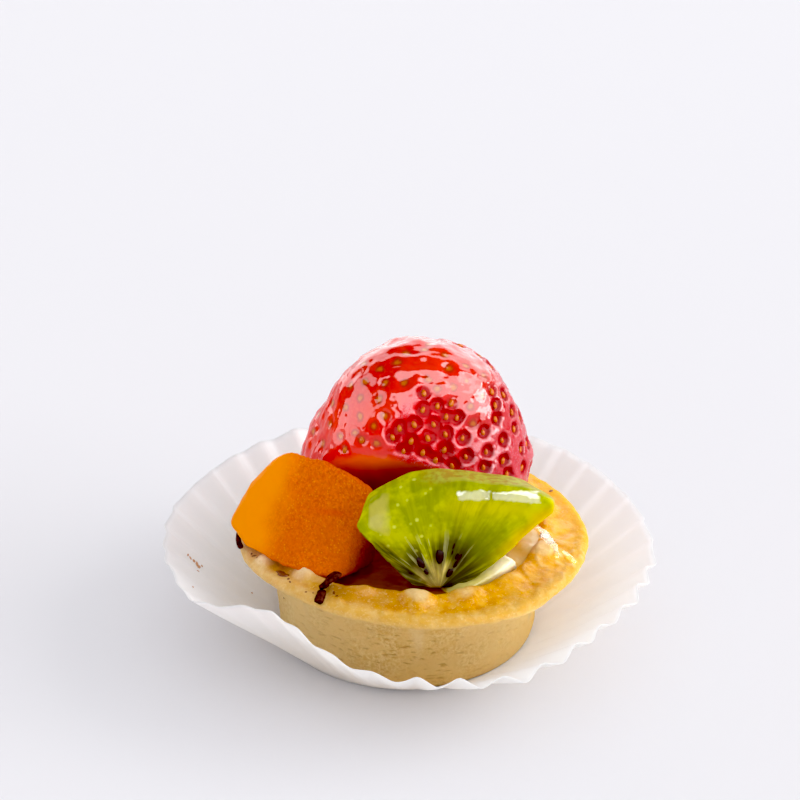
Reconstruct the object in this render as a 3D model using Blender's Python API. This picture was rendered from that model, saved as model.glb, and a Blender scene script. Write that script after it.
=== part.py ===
"""Fruit tart in its fluted paper case.

A pastry shell holds custard; a strawberry leans back over a peach chunk and a kiwi wedge.
The origin is on the shell's axis, on the surface that the paper case stands on. -Y is the front.
Lengths below are in millimetres and angles in degrees; MM turns a length into metres.
"""
import math

import bmesh
import bpy
from mathutils import Matrix, Vector

MM = 0.001
GAP = 0.3  # clearance between pieces that touch

# Paper case: a flat disc and a pleated wall that flares open.
PAPER_THICKNESS = 0.2
PAPER_BASE_RADIUS = 18.8
PAPER_BASE_CENTRE = (-0.8, 1.4)  # the shell stands a little in front of the case's middle
PAPER_WALL_LENGTH = 22.9  # along the slope, from the base's edge to the rim
PAPER_PLEATS = 38
PAPER_PLEAT_DEPTH = 0.75  # from the middle of the wall to a crest, at the rim
PAPER_WALL_ROWS = 5
PAPER_MEAN_SLOPE = 38.5  # above the ground
PAPER_LEANS = (  # azimuth, spread, and how much steeper the wall stands there
    (95.0, 45.0, 10.0),
    (196.0, 12.0, 3.0),
    (234.0, 18.0, 14.5),
    (292.0, 20.0, -5.0),
    (355.0, 12.0, -2.0),
)

# Pastry shell: a shallow cup whose rim spreads into a brim with a ring of beads.
SHELL_FOOT_Z = PAPER_THICKNESS + GAP
SHELL_BASE_RADIUS = 18.9  # of the wall, above its rounded foot
SHELL_FOOT_ROUND = 2.6
SHELL_WALL_TOP_RADIUS = 19.8
SHELL_LIP_Z = 15.3  # underside of the brim
SHELL_RIM_RADIUS = 25.5
SHELL_RIM_THICKNESS = 1.4  # of the brim's outer edge
SHELL_CREST_RADIUS = 20.9  # where the beads sit
SHELL_CREST_Z = 17.3
SHELL_MOUTH_RADIUS = 19.5
SHELL_WALL_THICKNESS = 2.7
SHELL_FLOOR_THICKNESS = 3.0
SHELL_BEADS = 15
SHELL_BEAD_HEIGHT = 0.9
SHELL_SEGMENTS = 90

# Custard: fills the shell to its surface, with a soft mound at the right front.
CUSTARD_Z = 15.8
CUSTARD_EDGE_DROP = 0.4
CUSTARD_MOUND = 1.6
CUSTARD_MOUND_PLACE = (13.2, -9.0)
CUSTARD_MOUND_SPREAD = 4.2
CUSTARD_SEGMENTS = 36

# Strawberry: a broad, flattened berry whose hull end is cut off flat. It leans back on its foot.
BERRY_CENTRE = (0.9, 7.0, 25.6)
BERRY_RADII = (17.4, 12.6, 19.5)
BERRY_TAPER = 0.09  # how much the sides draw in above the middle, as a share
BERRY_SWAY = 0.8  # how far the tip stands to the right of the middle
BERRY_CUT_POINT = (-5.6, -1.8, 30.1)
BERRY_CUT_NORMAL = (-0.192, -0.831, -0.523)
FRUIT_FOOT_Z = CUSTARD_Z + GAP  # the fruit stands on the custard
BERRY_LUMP = 0.012  # share of the radius
BERRY_SEGMENTS = 36
BERRY_RINGS = 22

# Peach: a chunk of a peach half. These are the corners of the block before its edges are rounded.
PEACH_CORNERS = {
    "left tip": (-27.5, -1.2, 19.6),
    "left shoulder": (-24.2, -1.0, 26.2),
    "top left": (-18.8, -0.9, 32.0),
    "top right": (-4.8, -5.3, 27.8),
    "front foot left": (-25.2, -6.4, 18.9),
    "front foot middle": (-17.8, -12.6, 18.8),
    "front foot right": (-10.8, -14.0, 17.0),
    "right foot": (-5.5, -9.5, 17.2),
    "back foot left": (-21.0, 6.0, 19.2),
    "back foot right": (-9.0, 5.5, 18.0),
}
PEACH_ROUND = 1.0

# Kiwi: a sector of a round slice, standing on its core and leaning back.
KIWI_APEX = (4.0, -16.0, 16.2)
KIWI_THICKNESS = 6.5
KIWI_LEAN = 8.0  # back from upright
KIWI_CORE_HALF_WIDTH = 2.4
KIWI_RADIUS = 16.4
KIWI_RIGHT_ANGLE = 36.0  # of the right cut side above the horizontal
KIWI_LEFT_ANGLE = 139.0
KIWI_RIGHT_REACH = 5.4  # how much farther the slice reaches at its right corner
KIWI_REACH_SPAN = 46.0  # over this angle
KIWI_ARC_STEPS = 12
KIWI_ROUND = 1.1


def material(name, colour, roughness, alpha=1.0):
    """A plain finish: colour is linear red, green, blue."""
    made = bpy.data.materials.new(name)
    made.use_nodes = True
    shader = made.node_tree.nodes["Principled BSDF"]
    shader.inputs["Base Color"].default_value = (*colour, 1.0)
    shader.inputs["Roughness"].default_value = roughness
    shader.inputs["Metallic"].default_value = 0.0
    shader.inputs["Alpha"].default_value = alpha
    made.diffuse_color = (*colour, alpha)
    return made


def add_object(name, mesh_data, finish, sharp_angle=40.0):
    """Turns a bmesh in millimetres into a smooth-shaded object in metres."""
    bmesh.ops.transform(mesh_data, matrix=Matrix.Scale(MM, 4), verts=mesh_data.verts)
    bmesh.ops.recalc_face_normals(mesh_data, faces=mesh_data.faces)
    mesh = bpy.data.meshes.new(name)
    mesh_data.to_mesh(mesh)
    mesh_data.free()
    mesh.shade_smooth()
    mesh.set_sharp_from_angle(angle=math.radians(sharp_angle))
    mesh.materials.append(finish)
    item = bpy.data.objects.new(name, mesh)
    bpy.context.scene.collection.objects.link(item)
    return item


def add_ring(mesh_data, points):
    return [mesh_data.verts.new(point) for point in points]


def join_rings(mesh_data, lower, upper):
    count = len(lower)
    for i in range(count):
        j = (i + 1) % count
        mesh_data.faces.new((lower[i], lower[j], upper[j], upper[i]))


def close_ring(mesh_data, ring, centre):
    """A fan of triangles from a ring to a point at its middle."""
    middle = mesh_data.verts.new(centre)
    for i in range(len(ring)):
        mesh_data.faces.new((ring[i], ring[(i + 1) % len(ring)], middle))


def hill(distance, spread):
    """1 at no distance, falling smoothly to nothing over a few spreads."""
    return math.exp(-((distance / spread) ** 2))


def paper_slope(azimuth):
    """The wall's slope at an azimuth, in radians: steeper at the back and the left front."""
    slope = PAPER_MEAN_SLOPE
    for place, spread, extra in PAPER_LEANS:
        away = (math.degrees(azimuth) - place + 180.0) % 360.0 - 180.0
        slope += extra * hill(away, spread)
    return math.radians(slope)


def paper_ring(share):
    """The pleated wall at a share of its length: four points to a pleat, two on the crest and two in the fold."""
    centre_x, centre_y = PAPER_BASE_CENTRE
    points = []
    for i in range(PAPER_PLEATS * 4):
        side = 1.0 if i % 4 < 2 else -1.0
        azimuth = math.tau * (i + 0.15 * (1.0 if i % 2 else -1.0)) / (PAPER_PLEATS * 4)
        slope = paper_slope(azimuth)
        along = PAPER_WALL_LENGTH * share
        off = side * PAPER_PLEAT_DEPTH * share
        radius = PAPER_BASE_RADIUS + along * math.cos(slope) + off * math.sin(slope)
        height = along * math.sin(slope) - off * math.cos(slope) * share
        points.append((centre_x + radius * math.cos(azimuth), centre_y + radius * math.sin(azimuth), height))
    return points


def build_paper_case():
    """An open sheet, given its thickness inwards, so the disc's underside stays at height zero."""
    sheet = bmesh.new()
    lower = add_ring(sheet, paper_ring(0.0))
    close_ring(sheet, lower, (*PAPER_BASE_CENTRE, 0.0))
    for row in range(1, PAPER_WALL_ROWS + 1):
        upper = add_ring(sheet, paper_ring(row / PAPER_WALL_ROWS))
        join_rings(sheet, lower, upper)
        lower = upper
    case = add_object("paper_case", sheet, material("paper", (0.86, 0.84, 0.82), 0.75))
    thicken = case.modifiers.new("sheet", "SOLIDIFY")
    thicken.thickness = PAPER_THICKNESS * MM
    thicken.offset = -1.0
    thicken.use_even_offset = False
    return case


def shell_waver(azimuth):
    """How the hand-pressed brim swells and shrinks, in millimetres."""
    return 0.22 * math.sin(3.0 * azimuth + 0.6) + 0.14 * math.sin(7.0 * azimuth + 2.0)


def shell_bead(azimuth):
    """Height of the beads round the mouth: rounded tops with narrow dips between."""
    wave = 0.5 + 0.5 * math.cos(SHELL_BEADS * azimuth + 0.9)
    return SHELL_BEAD_HEIGHT * math.sqrt(wave)


def shell_foot():
    """A quarter of a circle from the flat base up to the wall."""
    steps = (0.0, 30.0, 60.0, 90.0)
    centre_radius = SHELL_BASE_RADIUS - SHELL_FOOT_ROUND
    return [
        (
            centre_radius + SHELL_FOOT_ROUND * math.sin(math.radians(turn)),
            SHELL_FOOT_Z + SHELL_FOOT_ROUND * (1.0 - math.cos(math.radians(turn))),
        )
        for turn in steps
    ]


def shell_profile(azimuth):
    """The cup's section, from the middle of the foot, round the brim, to the middle of the floor."""
    waver = shell_waver(azimuth)
    bead = shell_bead(azimuth)
    rim = SHELL_RIM_RADIUS + waver
    top_of_rim = SHELL_LIP_Z + SHELL_RIM_THICKNESS
    floor = SHELL_FOOT_Z + SHELL_FLOOR_THICKNESS
    return (
        *shell_foot(),
        (SHELL_WALL_TOP_RADIUS, SHELL_LIP_Z - 0.6),
        (SHELL_WALL_TOP_RADIUS + 1.0, SHELL_LIP_Z),
        (rim - 0.7, SHELL_LIP_Z + 0.2),
        (rim, SHELL_LIP_Z + 0.5 * SHELL_RIM_THICKNESS),
        (rim - 0.5, top_of_rim),
        (0.5 * (rim + SHELL_CREST_RADIUS) + 0.4, 0.5 * (top_of_rim + SHELL_CREST_Z)),
        (SHELL_CREST_RADIUS + 1.0, SHELL_CREST_Z + 0.55 * bead),
        (SHELL_CREST_RADIUS, SHELL_CREST_Z + bead),
        (SHELL_MOUTH_RADIUS, SHELL_CREST_Z - 0.4 + 0.5 * bead),
        (SHELL_MOUTH_RADIUS - 0.3, SHELL_CREST_Z - 1.6),
        (SHELL_BASE_RADIUS - SHELL_WALL_THICKNESS + 0.8, floor + 1.2),
        (SHELL_BASE_RADIUS - SHELL_WALL_THICKNESS - 1.0, floor),
    )


def build_shell():
    cup = bmesh.new()
    azimuths = [math.tau * i / SHELL_SEGMENTS for i in range(SHELL_SEGMENTS)]
    profiles = [shell_profile(azimuth) for azimuth in azimuths]
    rings = []
    for step in range(len(profiles[0])):
        places = []
        for azimuth, profile in zip(azimuths, profiles):
            radius, height = profile[step]
            places.append((radius * math.cos(azimuth), radius * math.sin(azimuth), height))
        rings.append(add_ring(cup, places))
    for lower, upper in zip(rings, rings[1:]):
        join_rings(cup, lower, upper)
    close_ring(cup, rings[0], (0.0, 0.0, SHELL_FOOT_Z))
    close_ring(cup, rings[-1], (0.0, 0.0, SHELL_FOOT_Z + SHELL_FLOOR_THICKNESS))
    return add_object("tart_shell", cup, material("pastry", (0.66, 0.42, 0.16), 0.7))


def custard_height(x, y):
    """The custard's surface: nearly level, with a mound where cream was pushed up beside the fruit."""
    mound_x, mound_y = CUSTARD_MOUND_PLACE
    mound = CUSTARD_MOUND * hill(math.hypot(x - mound_x, y - mound_y), CUSTARD_MOUND_SPREAD)
    edge = CUSTARD_EDGE_DROP * (math.hypot(x, y) / SHELL_MOUTH_RADIUS) ** 4
    return CUSTARD_Z - edge + mound


def build_custard():
    """Follows the inside of the shell with the clearance all round."""
    filling = bmesh.new()
    floor = SHELL_FOOT_Z + SHELL_FLOOR_THICKNESS
    inner_base = SHELL_BASE_RADIUS - SHELL_WALL_THICKNESS
    mouth = SHELL_MOUTH_RADIUS - 0.3
    walls = (
        (inner_base - 1.0 - GAP, floor + GAP),
        (inner_base + 0.8 - GAP, floor + 1.2 + 0.5 * GAP),
        (mouth - 1.5 * GAP, SHELL_CREST_Z - 2.2),
    )
    angles = [math.tau * i / CUSTARD_SEGMENTS for i in range(CUSTARD_SEGMENTS)]
    rings = []
    for radius, height in walls:
        rings.append(add_ring(filling, [(radius * math.cos(a), radius * math.sin(a), height) for a in angles]))
    top_radius = mouth - 2.0 * GAP
    for share in (1.0, 0.8, 0.6, 0.35):
        radius = top_radius * share
        places = [(radius * math.cos(a), radius * math.sin(a)) for a in angles]
        rings.append(add_ring(filling, [(x, y, custard_height(x, y)) for x, y in places]))
    for lower, upper in zip(rings, rings[1:]):
        join_rings(filling, lower, upper)
    close_ring(filling, rings[0], (0.0, 0.0, floor + GAP))
    close_ring(filling, rings[-1], (0.0, 0.0, custard_height(0.0, 0.0)))
    return add_object("custard", filling, material("custard", (0.80, 0.62, 0.24), 0.35))


def cut_away(mesh_data, point, normal):
    """Removes what lies on the normal's side of a plane and closes the cut."""
    everything = mesh_data.verts[:] + mesh_data.edges[:] + mesh_data.faces[:]
    found = bmesh.ops.bisect_plane(
        mesh_data, geom=everything, plane_co=point, plane_no=normal, clear_outer=True
    )
    rim = [item for item in found["geom_cut"] if isinstance(item, bmesh.types.BMEdge)]
    bmesh.ops.edgeloop_fill(mesh_data, edges=rim)


def build_strawberry():
    berry = bmesh.new()
    bmesh.ops.create_uvsphere(berry, u_segments=BERRY_SEGMENTS, v_segments=BERRY_RINGS, radius=1.0)
    for vert in berry.verts:
        x, y, z = vert.co
        around = math.atan2(y, x)
        lump = 1.0 + BERRY_LUMP * (math.sin(3.0 * around + 2.0 * z) + math.sin(5.0 * around - 3.0 * z))
        draw_in = 1.0 - BERRY_TAPER * math.sin(math.pi * max(0.0, z))
        vert.co = Vector(
            centre + radius * share * lump
            for centre, radius, share in zip(BERRY_CENTRE, BERRY_RADII, (x * draw_in, y * draw_in, z))
        )
        vert.co.x += BERRY_SWAY * z
    cut_away(berry, BERRY_CUT_POINT, BERRY_CUT_NORMAL)
    cut_away(berry, (0.0, 0.0, FRUIT_FOOT_Z), (0.0, 0.0, -1.0))
    bmesh.ops.triangulate(berry, faces=[face for face in berry.faces if len(face.verts) > 4])
    return add_object("strawberry", berry, material("strawberry", (0.62, 0.02, 0.015), 0.15))


def round_edges(item, width, steps):
    bevel = item.modifiers.new("round", "BEVEL")
    bevel.width = width * MM
    bevel.segments = steps
    bevel.limit_method = "ANGLE"
    bevel.angle_limit = math.radians(20.0)
    return bevel


def build_peach():
    chunk = bmesh.new()
    for corner in PEACH_CORNERS.values():
        chunk.verts.new(corner)
    hull = bmesh.ops.convex_hull(chunk, input=chunk.verts[:])
    loose = [item for item in hull["geom_interior"] if isinstance(item, bmesh.types.BMVert)]
    bmesh.ops.delete(chunk, geom=loose, context="VERTS")
    bmesh.ops.dissolve_limit(
        chunk, angle_limit=math.radians(6.0), verts=chunk.verts[:], edges=chunk.edges[:]
    )
    item = add_object("peach_chunk", chunk, material("peach", (0.83, 0.30, 0.01), 0.3))
    round_edges(item, PEACH_ROUND, 3)
    return item


def kiwi_radius(angle):
    """The slice is wider towards its right corner."""
    towards_right = max(0.0, 1.0 - (angle - KIWI_RIGHT_ANGLE) / KIWI_REACH_SPAN)
    return KIWI_RADIUS + KIWI_RIGHT_REACH * towards_right**2


def kiwi_outline():
    """The cut face, from the right of the core, round the peeled edge, to the left of the core."""
    outline = [(KIWI_CORE_HALF_WIDTH + 0.4, 0.0)]
    for step in range(KIWI_ARC_STEPS + 1):
        angle = KIWI_RIGHT_ANGLE + (KIWI_LEFT_ANGLE - KIWI_RIGHT_ANGLE) * step / KIWI_ARC_STEPS
        radius = kiwi_radius(angle)
        if step in (0, KIWI_ARC_STEPS):
            radius -= 1.8
        outline.append((radius * math.cos(math.radians(angle)), radius * math.sin(math.radians(angle))))
    outline.append((-KIWI_CORE_HALF_WIDTH, 0.4))
    return outline


def build_kiwi():
    wedge = bmesh.new()
    front = [wedge.verts.new((x, 0.0, up)) for x, up in kiwi_outline()]
    face = wedge.faces.new(front)
    moved = bmesh.ops.extrude_face_region(wedge, geom=[face])
    back = [item for item in moved["geom"] if isinstance(item, bmesh.types.BMVert)]
    bmesh.ops.translate(wedge, verts=back, vec=(0.0, KIWI_THICKNESS, 0.0))
    lean = Matrix.Rotation(-math.radians(KIWI_LEAN), 4, "X")
    place = Matrix.Translation(KIWI_APEX)
    bmesh.ops.transform(wedge, matrix=place @ lean, verts=wedge.verts)
    cut_away(wedge, (0.0, 0.0, FRUIT_FOOT_Z), (0.0, 0.0, -1.0))
    item = add_object("kiwi_wedge", wedge, material("kiwi", (0.40, 0.46, 0.03), 0.25))
    round_edges(item, KIWI_ROUND, 3)
    return item


for leftover in list(bpy.data.objects):
    bpy.data.objects.remove(leftover, do_unlink=True)

build_paper_case()
build_shell()
build_custard()
build_strawberry()
build_peach()
build_kiwi()
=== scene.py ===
# %% [markdown]
# # A small fruit tart in its fluted paper case
# A baked pastry shell is filled with custard. A glazed strawberry stands on it, with a peach
# chunk and a kiwi wedge in front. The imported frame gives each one's size and plain solid, and
# this lesson builds the looks around them: first the paper, then the pastry, the custard, the
# fruit and the bits of chocolate, and at the end the light.

# %% Load the frame
import math
import random

import bpy
import numpy as np
from mathutils import Matrix, Vector, noise
from mathutils.bvhtree import BVHTree
from mathutils.kdtree import KDTree


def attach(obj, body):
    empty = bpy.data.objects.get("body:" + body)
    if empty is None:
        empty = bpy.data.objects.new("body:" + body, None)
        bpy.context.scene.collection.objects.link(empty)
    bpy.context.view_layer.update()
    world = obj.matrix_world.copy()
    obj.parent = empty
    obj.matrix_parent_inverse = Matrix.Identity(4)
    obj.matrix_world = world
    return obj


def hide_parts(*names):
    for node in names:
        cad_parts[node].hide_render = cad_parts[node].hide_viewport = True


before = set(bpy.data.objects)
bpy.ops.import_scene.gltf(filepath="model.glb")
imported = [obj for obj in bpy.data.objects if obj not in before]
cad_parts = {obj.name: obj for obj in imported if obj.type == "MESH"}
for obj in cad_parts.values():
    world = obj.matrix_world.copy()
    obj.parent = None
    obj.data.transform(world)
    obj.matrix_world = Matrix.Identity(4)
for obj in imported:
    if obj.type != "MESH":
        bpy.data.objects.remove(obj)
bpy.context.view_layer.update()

MM = 0.001
print("the frame holds", ", ".join(sorted(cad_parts)))

# %% [markdown]
# ## The camera
# The photograph looks down on the tart at about thirty degrees from some way off, so the lens is
# long. The camera could wait until the end, but here it comes first, because small things such as
# seeds and crumbs are placed by looking through it: a line from the camera through a point of the
# picture ends on the piece it meets.

# %% The camera and a way to look through it
PICTURE = 800  # pixels on a side
SENSOR = 36
LENS = 132.787
FOCAL = PICTURE * LENS / SENSOR
CAMERA_PLACE = Vector((-1.627, -377.774, 244.508)) * MM
CAMERA_TILT = math.radians(61.45)

lens_data = bpy.data.cameras.new("Photo_Camera")
lens_data.lens = LENS
lens_data.sensor_width = SENSOR
lens_data.clip_start = 0.01
lens_data.clip_end = 10
camera = bpy.data.objects.new("Photo_Camera", lens_data)
camera.location = CAMERA_PLACE
camera.rotation_euler = (CAMERA_TILT, 0, 0)
bpy.context.scene.collection.objects.link(camera)
bpy.context.scene.camera = camera


def line_of_sight(across, down):
    """The direction from the camera through a point of the picture."""
    seen = Vector(((across - PICTURE / 2) / FOCAL, (PICTURE / 2 - down) / FOCAL, -1))
    return (Matrix.Rotation(CAMERA_TILT, 3, "X") @ seen).normalized()


def surface_of(item):
    """A tree of a piece's faces that lines can be dropped on."""
    corners = [vert.co.copy() for vert in item.data.vertices]
    return BVHTree.FromPolygons(corners, [tuple(face.vertices) for face in item.data.polygons])


def spot(tree, across, down):
    """Where a point of the picture lies on a piece, and which way the piece faces there."""
    place, facing, _, _ = tree.ray_cast(CAMERA_PLACE, line_of_sight(across, down))
    return place, facing


def seen_at(points):
    """Where points in millimetres show in the picture, as across and down."""
    into = np.array(Matrix.Rotation(-CAMERA_TILT, 3, "X"))
    x, y, z = ((points * MM - np.array(CAMERA_PLACE)) @ into.T).T
    return PICTURE / 2 - FOCAL * x / z, PICTURE / 2 + FOCAL * y / z


print("camera at", [round(value / MM) for value in CAMERA_PLACE], "mm")

# %% [markdown]
# ## Helpers for shaping
# Every piece starts as a primitive and is shaped in edit mode. Food then needs a last touch that
# no operator gives: its points are pushed about by smooth noise. A Displace modifier could do
# that, but here each lump, crack and pit has a place of its own. So these helpers read the points
# of a mesh in millimetres, and write them back when they have been pushed.

# %% Helpers for shaping
def deselect():
    if bpy.context.object and bpy.context.object.mode != "OBJECT":
        bpy.ops.object.mode_set(mode="OBJECT")
    bpy.ops.object.select_all(action="DESELECT")


def edit_all():
    bpy.ops.object.mode_set(mode="EDIT")
    bpy.ops.mesh.select_all(action="SELECT")


def leave_edit():
    bpy.ops.object.mode_set(mode="OBJECT")


def named(name):
    item = bpy.context.object
    item.name = item.data.name = name
    return item


# %% Read and write a mesh
def read_points(item):
    flat = np.empty(len(item.data.vertices) * 3)
    item.data.vertices.foreach_get("co", flat)
    return flat.reshape(-1, 3) / MM


def read_normals(item):
    flat = np.empty(len(item.data.vertices) * 3)
    item.data.vertex_normals.foreach_get("vector", flat)
    return flat.reshape(-1, 3)


def write_points(item, points):
    item.data.vertices.foreach_set("co", (points * MM).ravel())
    item.data.update()


def write_values(item, **masks):
    """One number for each point, from 0 to 1, which a material reads by its name."""
    for name, values in masks.items():
        layer = item.data.attributes.new(name, "FLOAT", "POINT")
        layer.data.foreach_set("value", np.clip(values, 0, 1).astype(np.float32))


def apply_modifier(item, kind, **settings):
    bpy.context.view_layer.objects.active = item
    added = item.modifiers.new(kind.lower(), kind)
    for key, value in settings.items():
        setattr(added, key, value)
    bpy.ops.object.modifier_apply(modifier=added.name)


# %% Noise and smooth steps
def bumps(points, size, seed, stretch=(1, 1, 1)):
    """Smooth noise from about -1 to 1, with lumps of a size in millimetres."""
    away = Vector((seed * 17.3, seed * 5.1, seed * -11.7))
    scaled = points / (np.array(stretch) * size)
    return np.array([noise.noise(Vector(point) + away) for point in scaled])


def layered(points, *layers):
    """Bumps of several sizes added up; each layer is its height, size, seed and stretch."""
    return sum(height * bumps(points, *layer) for height, *layer in layers)


def rise(values, low, high):
    """0 below low, 1 above high, and a smooth step between."""
    share = np.clip((values - low) / (high - low), 0, 1)
    return share * share * (3 - 2 * share)


def fall(values, low, high):
    return 1 - rise(values, low, high)


def hill(distance, spread):
    return np.exp(-((distance / spread) ** 2))


def apart(degrees, azimuth):
    """How far directions are from an azimuth, from -180 to 180 degrees."""
    return (degrees - azimuth + 180) % 360 - 180


print("a smooth step from 2 to 4 has, at 2.5, come to", round(float(rise(2.5, 2, 4)), 3))


# %% Turn a body and finish a piece
def turned(name, profile, sides, inset=0):
    """A body turned from a profile of radii and heights in millimetres, closed at both ends."""
    deselect()
    radius, height = profile[0]
    bpy.ops.mesh.primitive_circle_add(
        vertices=sides, radius=radius * MM, location=(0, 0, height * MM), fill_type="NGON"
    )
    item = named(name)
    bpy.ops.object.transform_apply(location=True, rotation=False, scale=False)
    edit_all()
    if inset:
        bpy.ops.mesh.inset(thickness=inset * MM)
        bpy.ops.mesh.select_all(action="SELECT")
    bpy.ops.mesh.region_to_loop()
    for wide, high in profile[1:]:
        bpy.ops.mesh.extrude_edges_move()
        bpy.ops.transform.translate(value=(0, 0, (high - height) * MM))
        bpy.ops.transform.resize(value=(wide / radius, wide / radius, 1))
        radius, height = wide, high
    bpy.ops.mesh.edge_face_add()
    if inset:
        bpy.ops.mesh.inset(thickness=inset * MM)
    bpy.ops.mesh.select_all(action="SELECT")
    bpy.ops.mesh.normals_make_consistent(inside=False)
    leave_edit()
    return item


def finish_piece(item, look, slot, *nodes):
    """Smooth shading, its material, a parent, and the frame's node hidden; the slot is not used."""
    item.data.materials.clear()
    item.data.materials.append(look.material)
    item.data.shade_smooth()
    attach(item, "root")
    if nodes:
        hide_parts(*nodes)
    item.data.calc_loop_triangles()
    print(item.name, "has", len(item.data.loop_triangles), "triangles")


# %% [markdown]
# ## Helpers for materials
# A material here is one Principled shader with a few nodes in front. Added one by one they would
# fill pages, so this class adds a node, sets its values and joins what it is given. A name stands
# for the numbers written on a piece's points. Patterns are measured in millimetres on the piece
# itself, so they stay put from every side.

# %% Helpers for materials
class Look:
    def __init__(self, name, **sockets):
        """Glaze is the coat, so what lies under it has hardly a gleam of its own."""
        self.material = bpy.data.materials.new(name)
        self.material.use_nodes = True
        self.nodes = self.material.node_tree.nodes
        self.links = self.material.node_tree.links
        self.shader = self.nodes["Principled BSDF"]
        self.set(Specular_IOR_Level=0.02, **sockets)

    def set(self, **sockets):
        for key, value in sockets.items():
            self.join(value, self.shader.inputs[key.replace("_", " ")])

    def join(self, value, socket):
        """Gives a socket a value, a node's output, or the numbers that a name stands for."""
        if isinstance(value, str):
            value = self.node("Attribute", {}, attribute_name=value).outputs["Fac"]
        if isinstance(value, bpy.types.NodeSocket):
            self.links.new(value, socket)
        elif isinstance(value, tuple) and socket.type == "RGBA":
            socket.default_value = (*value, 1)
        else:
            socket.default_value = value

    def node(self, kind, inputs, **settings):
        made = self.nodes.new("ShaderNode" + kind)
        for key, value in settings.items():
            setattr(made, key, value)
        for key, value in inputs.items():
            self.join(value, made.inputs[key])
        return made

    def place(self, stretch=(1, 1, 1), origin=(0, 0, 0), turn=(0, 0, 0)):
        """Object coordinates in millimetres from an origin, turned and stretched."""
        source = self.node("TexCoord", {}).outputs["Object"]
        centred = self.node("VectorMath", {0: source, 1: Vector(origin) * MM}, operation="SUBTRACT")
        scale = tuple(1 / (MM * value) for value in stretch)
        inputs = {"Vector": centred.outputs[0], "Rotation": turn, "Scale": scale}
        return self.node("Mapping", inputs).outputs[0]

    def noise(self, where, size, detail=2, roughness=0.5):
        """Noise from 0 to 1 with lumps of a size in millimetres."""
        inputs = {"Vector": where, "Scale": 1 / size, "Detail": detail, "Roughness": roughness}
        return self.node("TexNoise", inputs).outputs["Fac"]

    def patches(self, where, size, detail, low, high, roughness=0.5):
        return self.step(self.noise(where, size, detail, roughness), low, high)

    def cells(self, where, size):
        return self.node("TexVoronoi", {"Vector": where, "Scale": 1 / size}).outputs["Distance"]

    def step(self, value, low, high, start=0, end=1):
        inputs = {"Value": value, "From Min": low, "From Max": high, "To Min": start, "To Max": end}
        return self.node("MapRange", inputs, interpolation_type="SMOOTHSTEP").outputs[0]

    def math(self, operation, first, second):
        return self.node("Math", {0: first, 1: second}, operation=operation).outputs[0]

    def times(self, first, *others):
        for other in others:
            first = self.math("MULTIPLY", first, other)
        return first

    def blend(self, share, first, second, how="MIX"):
        inputs = {"Factor": share, 6: first, 7: second}
        return self.node("Mix", inputs, data_type="RGBA", blend_type=how).outputs[2]

    def paint(self, base, *coats):
        """Lays coats of colour on a base, each with its strength, its place and its colour."""
        for strength, where, colour in coats:
            base = self.blend(self.times(where, strength) if strength < 1 else where, base, colour)
        return base

    def bump(self, height, depth, strength=1, below=None):
        """A relief of a depth in millimetres."""
        inputs = {"Height": height, "Distance": depth * MM, "Strength": strength}
        if below is not None:
            inputs["Normal"] = below
        return self.node("Bump", inputs).outputs[0]


# %% A plain material of two colours
def two_tone(name, size, first, second, detail=2, **sockets):
    """A plain material that wavers between two colours."""
    look = Look(name, **sockets)
    look.set(Base_Color=look.blend(look.noise(look.place(), size, detail), first, second))
    return look


# %% [markdown]
# ## The paper case
# A paper case is a disc of thin white paper pressed in a fluted mould, here opened wide. It could
# be draped as cloth, but its pleats were pressed in and don't hang, so it is modelled: a circle
# is extruded outwards ring by ring, and the rings are laid on a pleated cone. The cone isn't
# even. It is steeper at the back and the left front, where it was pushed up, and no two pleats
# agree.

# %% Model the paper case
PLEATS = 38
STEPS_PER_PLEAT = 12
PAPER_ROWS = 24
PAPER_MIDDLE = 2
PAPER_BASE = 18.8
PAPER_CENTRE = (-0.8, 1.4)
PAPER_WALL = 22.9
PAPER_THICK = 0.09
PAPER_FOLD = 0.74
PAPER_SLOPE = 38.5
PAPER_LEANS = (  # azimuth, spread, and how much steeper the wall stands there
    (95, 45, 10), (196, 12, 3), (234, 18, 14.5), (292, 20, -5), (355, 12, -2),
)
PAPER_PRESSED = ((205, 26, 0.72), (252, 27, 0.66), (40, 40, 0.25))  # pleats pulled flat
SHARPNESS = 0.86  # of the folds, from 0 for a wave to 1 for a zigzag


def spread_over(azimuth, hills, start):
    """A value that starts even round the case and has a hill added at some azimuths, in degrees."""
    total = np.full_like(azimuth, start)
    for place, spread, extra in hills:
        total += extra * hill(apart(azimuth, place), spread)
    return total


deselect()
bpy.ops.mesh.primitive_circle_add(
    vertices=PLEATS * STEPS_PER_PLEAT, radius=PAPER_MIDDLE * MM, fill_type="TRIFAN"
)
paper = named("Paper_Case")
edit_all()
bpy.ops.mesh.region_to_loop()
radius = PAPER_MIDDLE
for target in [6, 10, 14, 17] + [PAPER_BASE + row for row in range(PAPER_ROWS + 1)]:
    bpy.ops.mesh.extrude_edges_move()
    bpy.ops.transform.resize(value=(target / radius, target / radius, 1))
    radius = target
leave_edit()
print("paper rings out to", radius, "mm")

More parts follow.
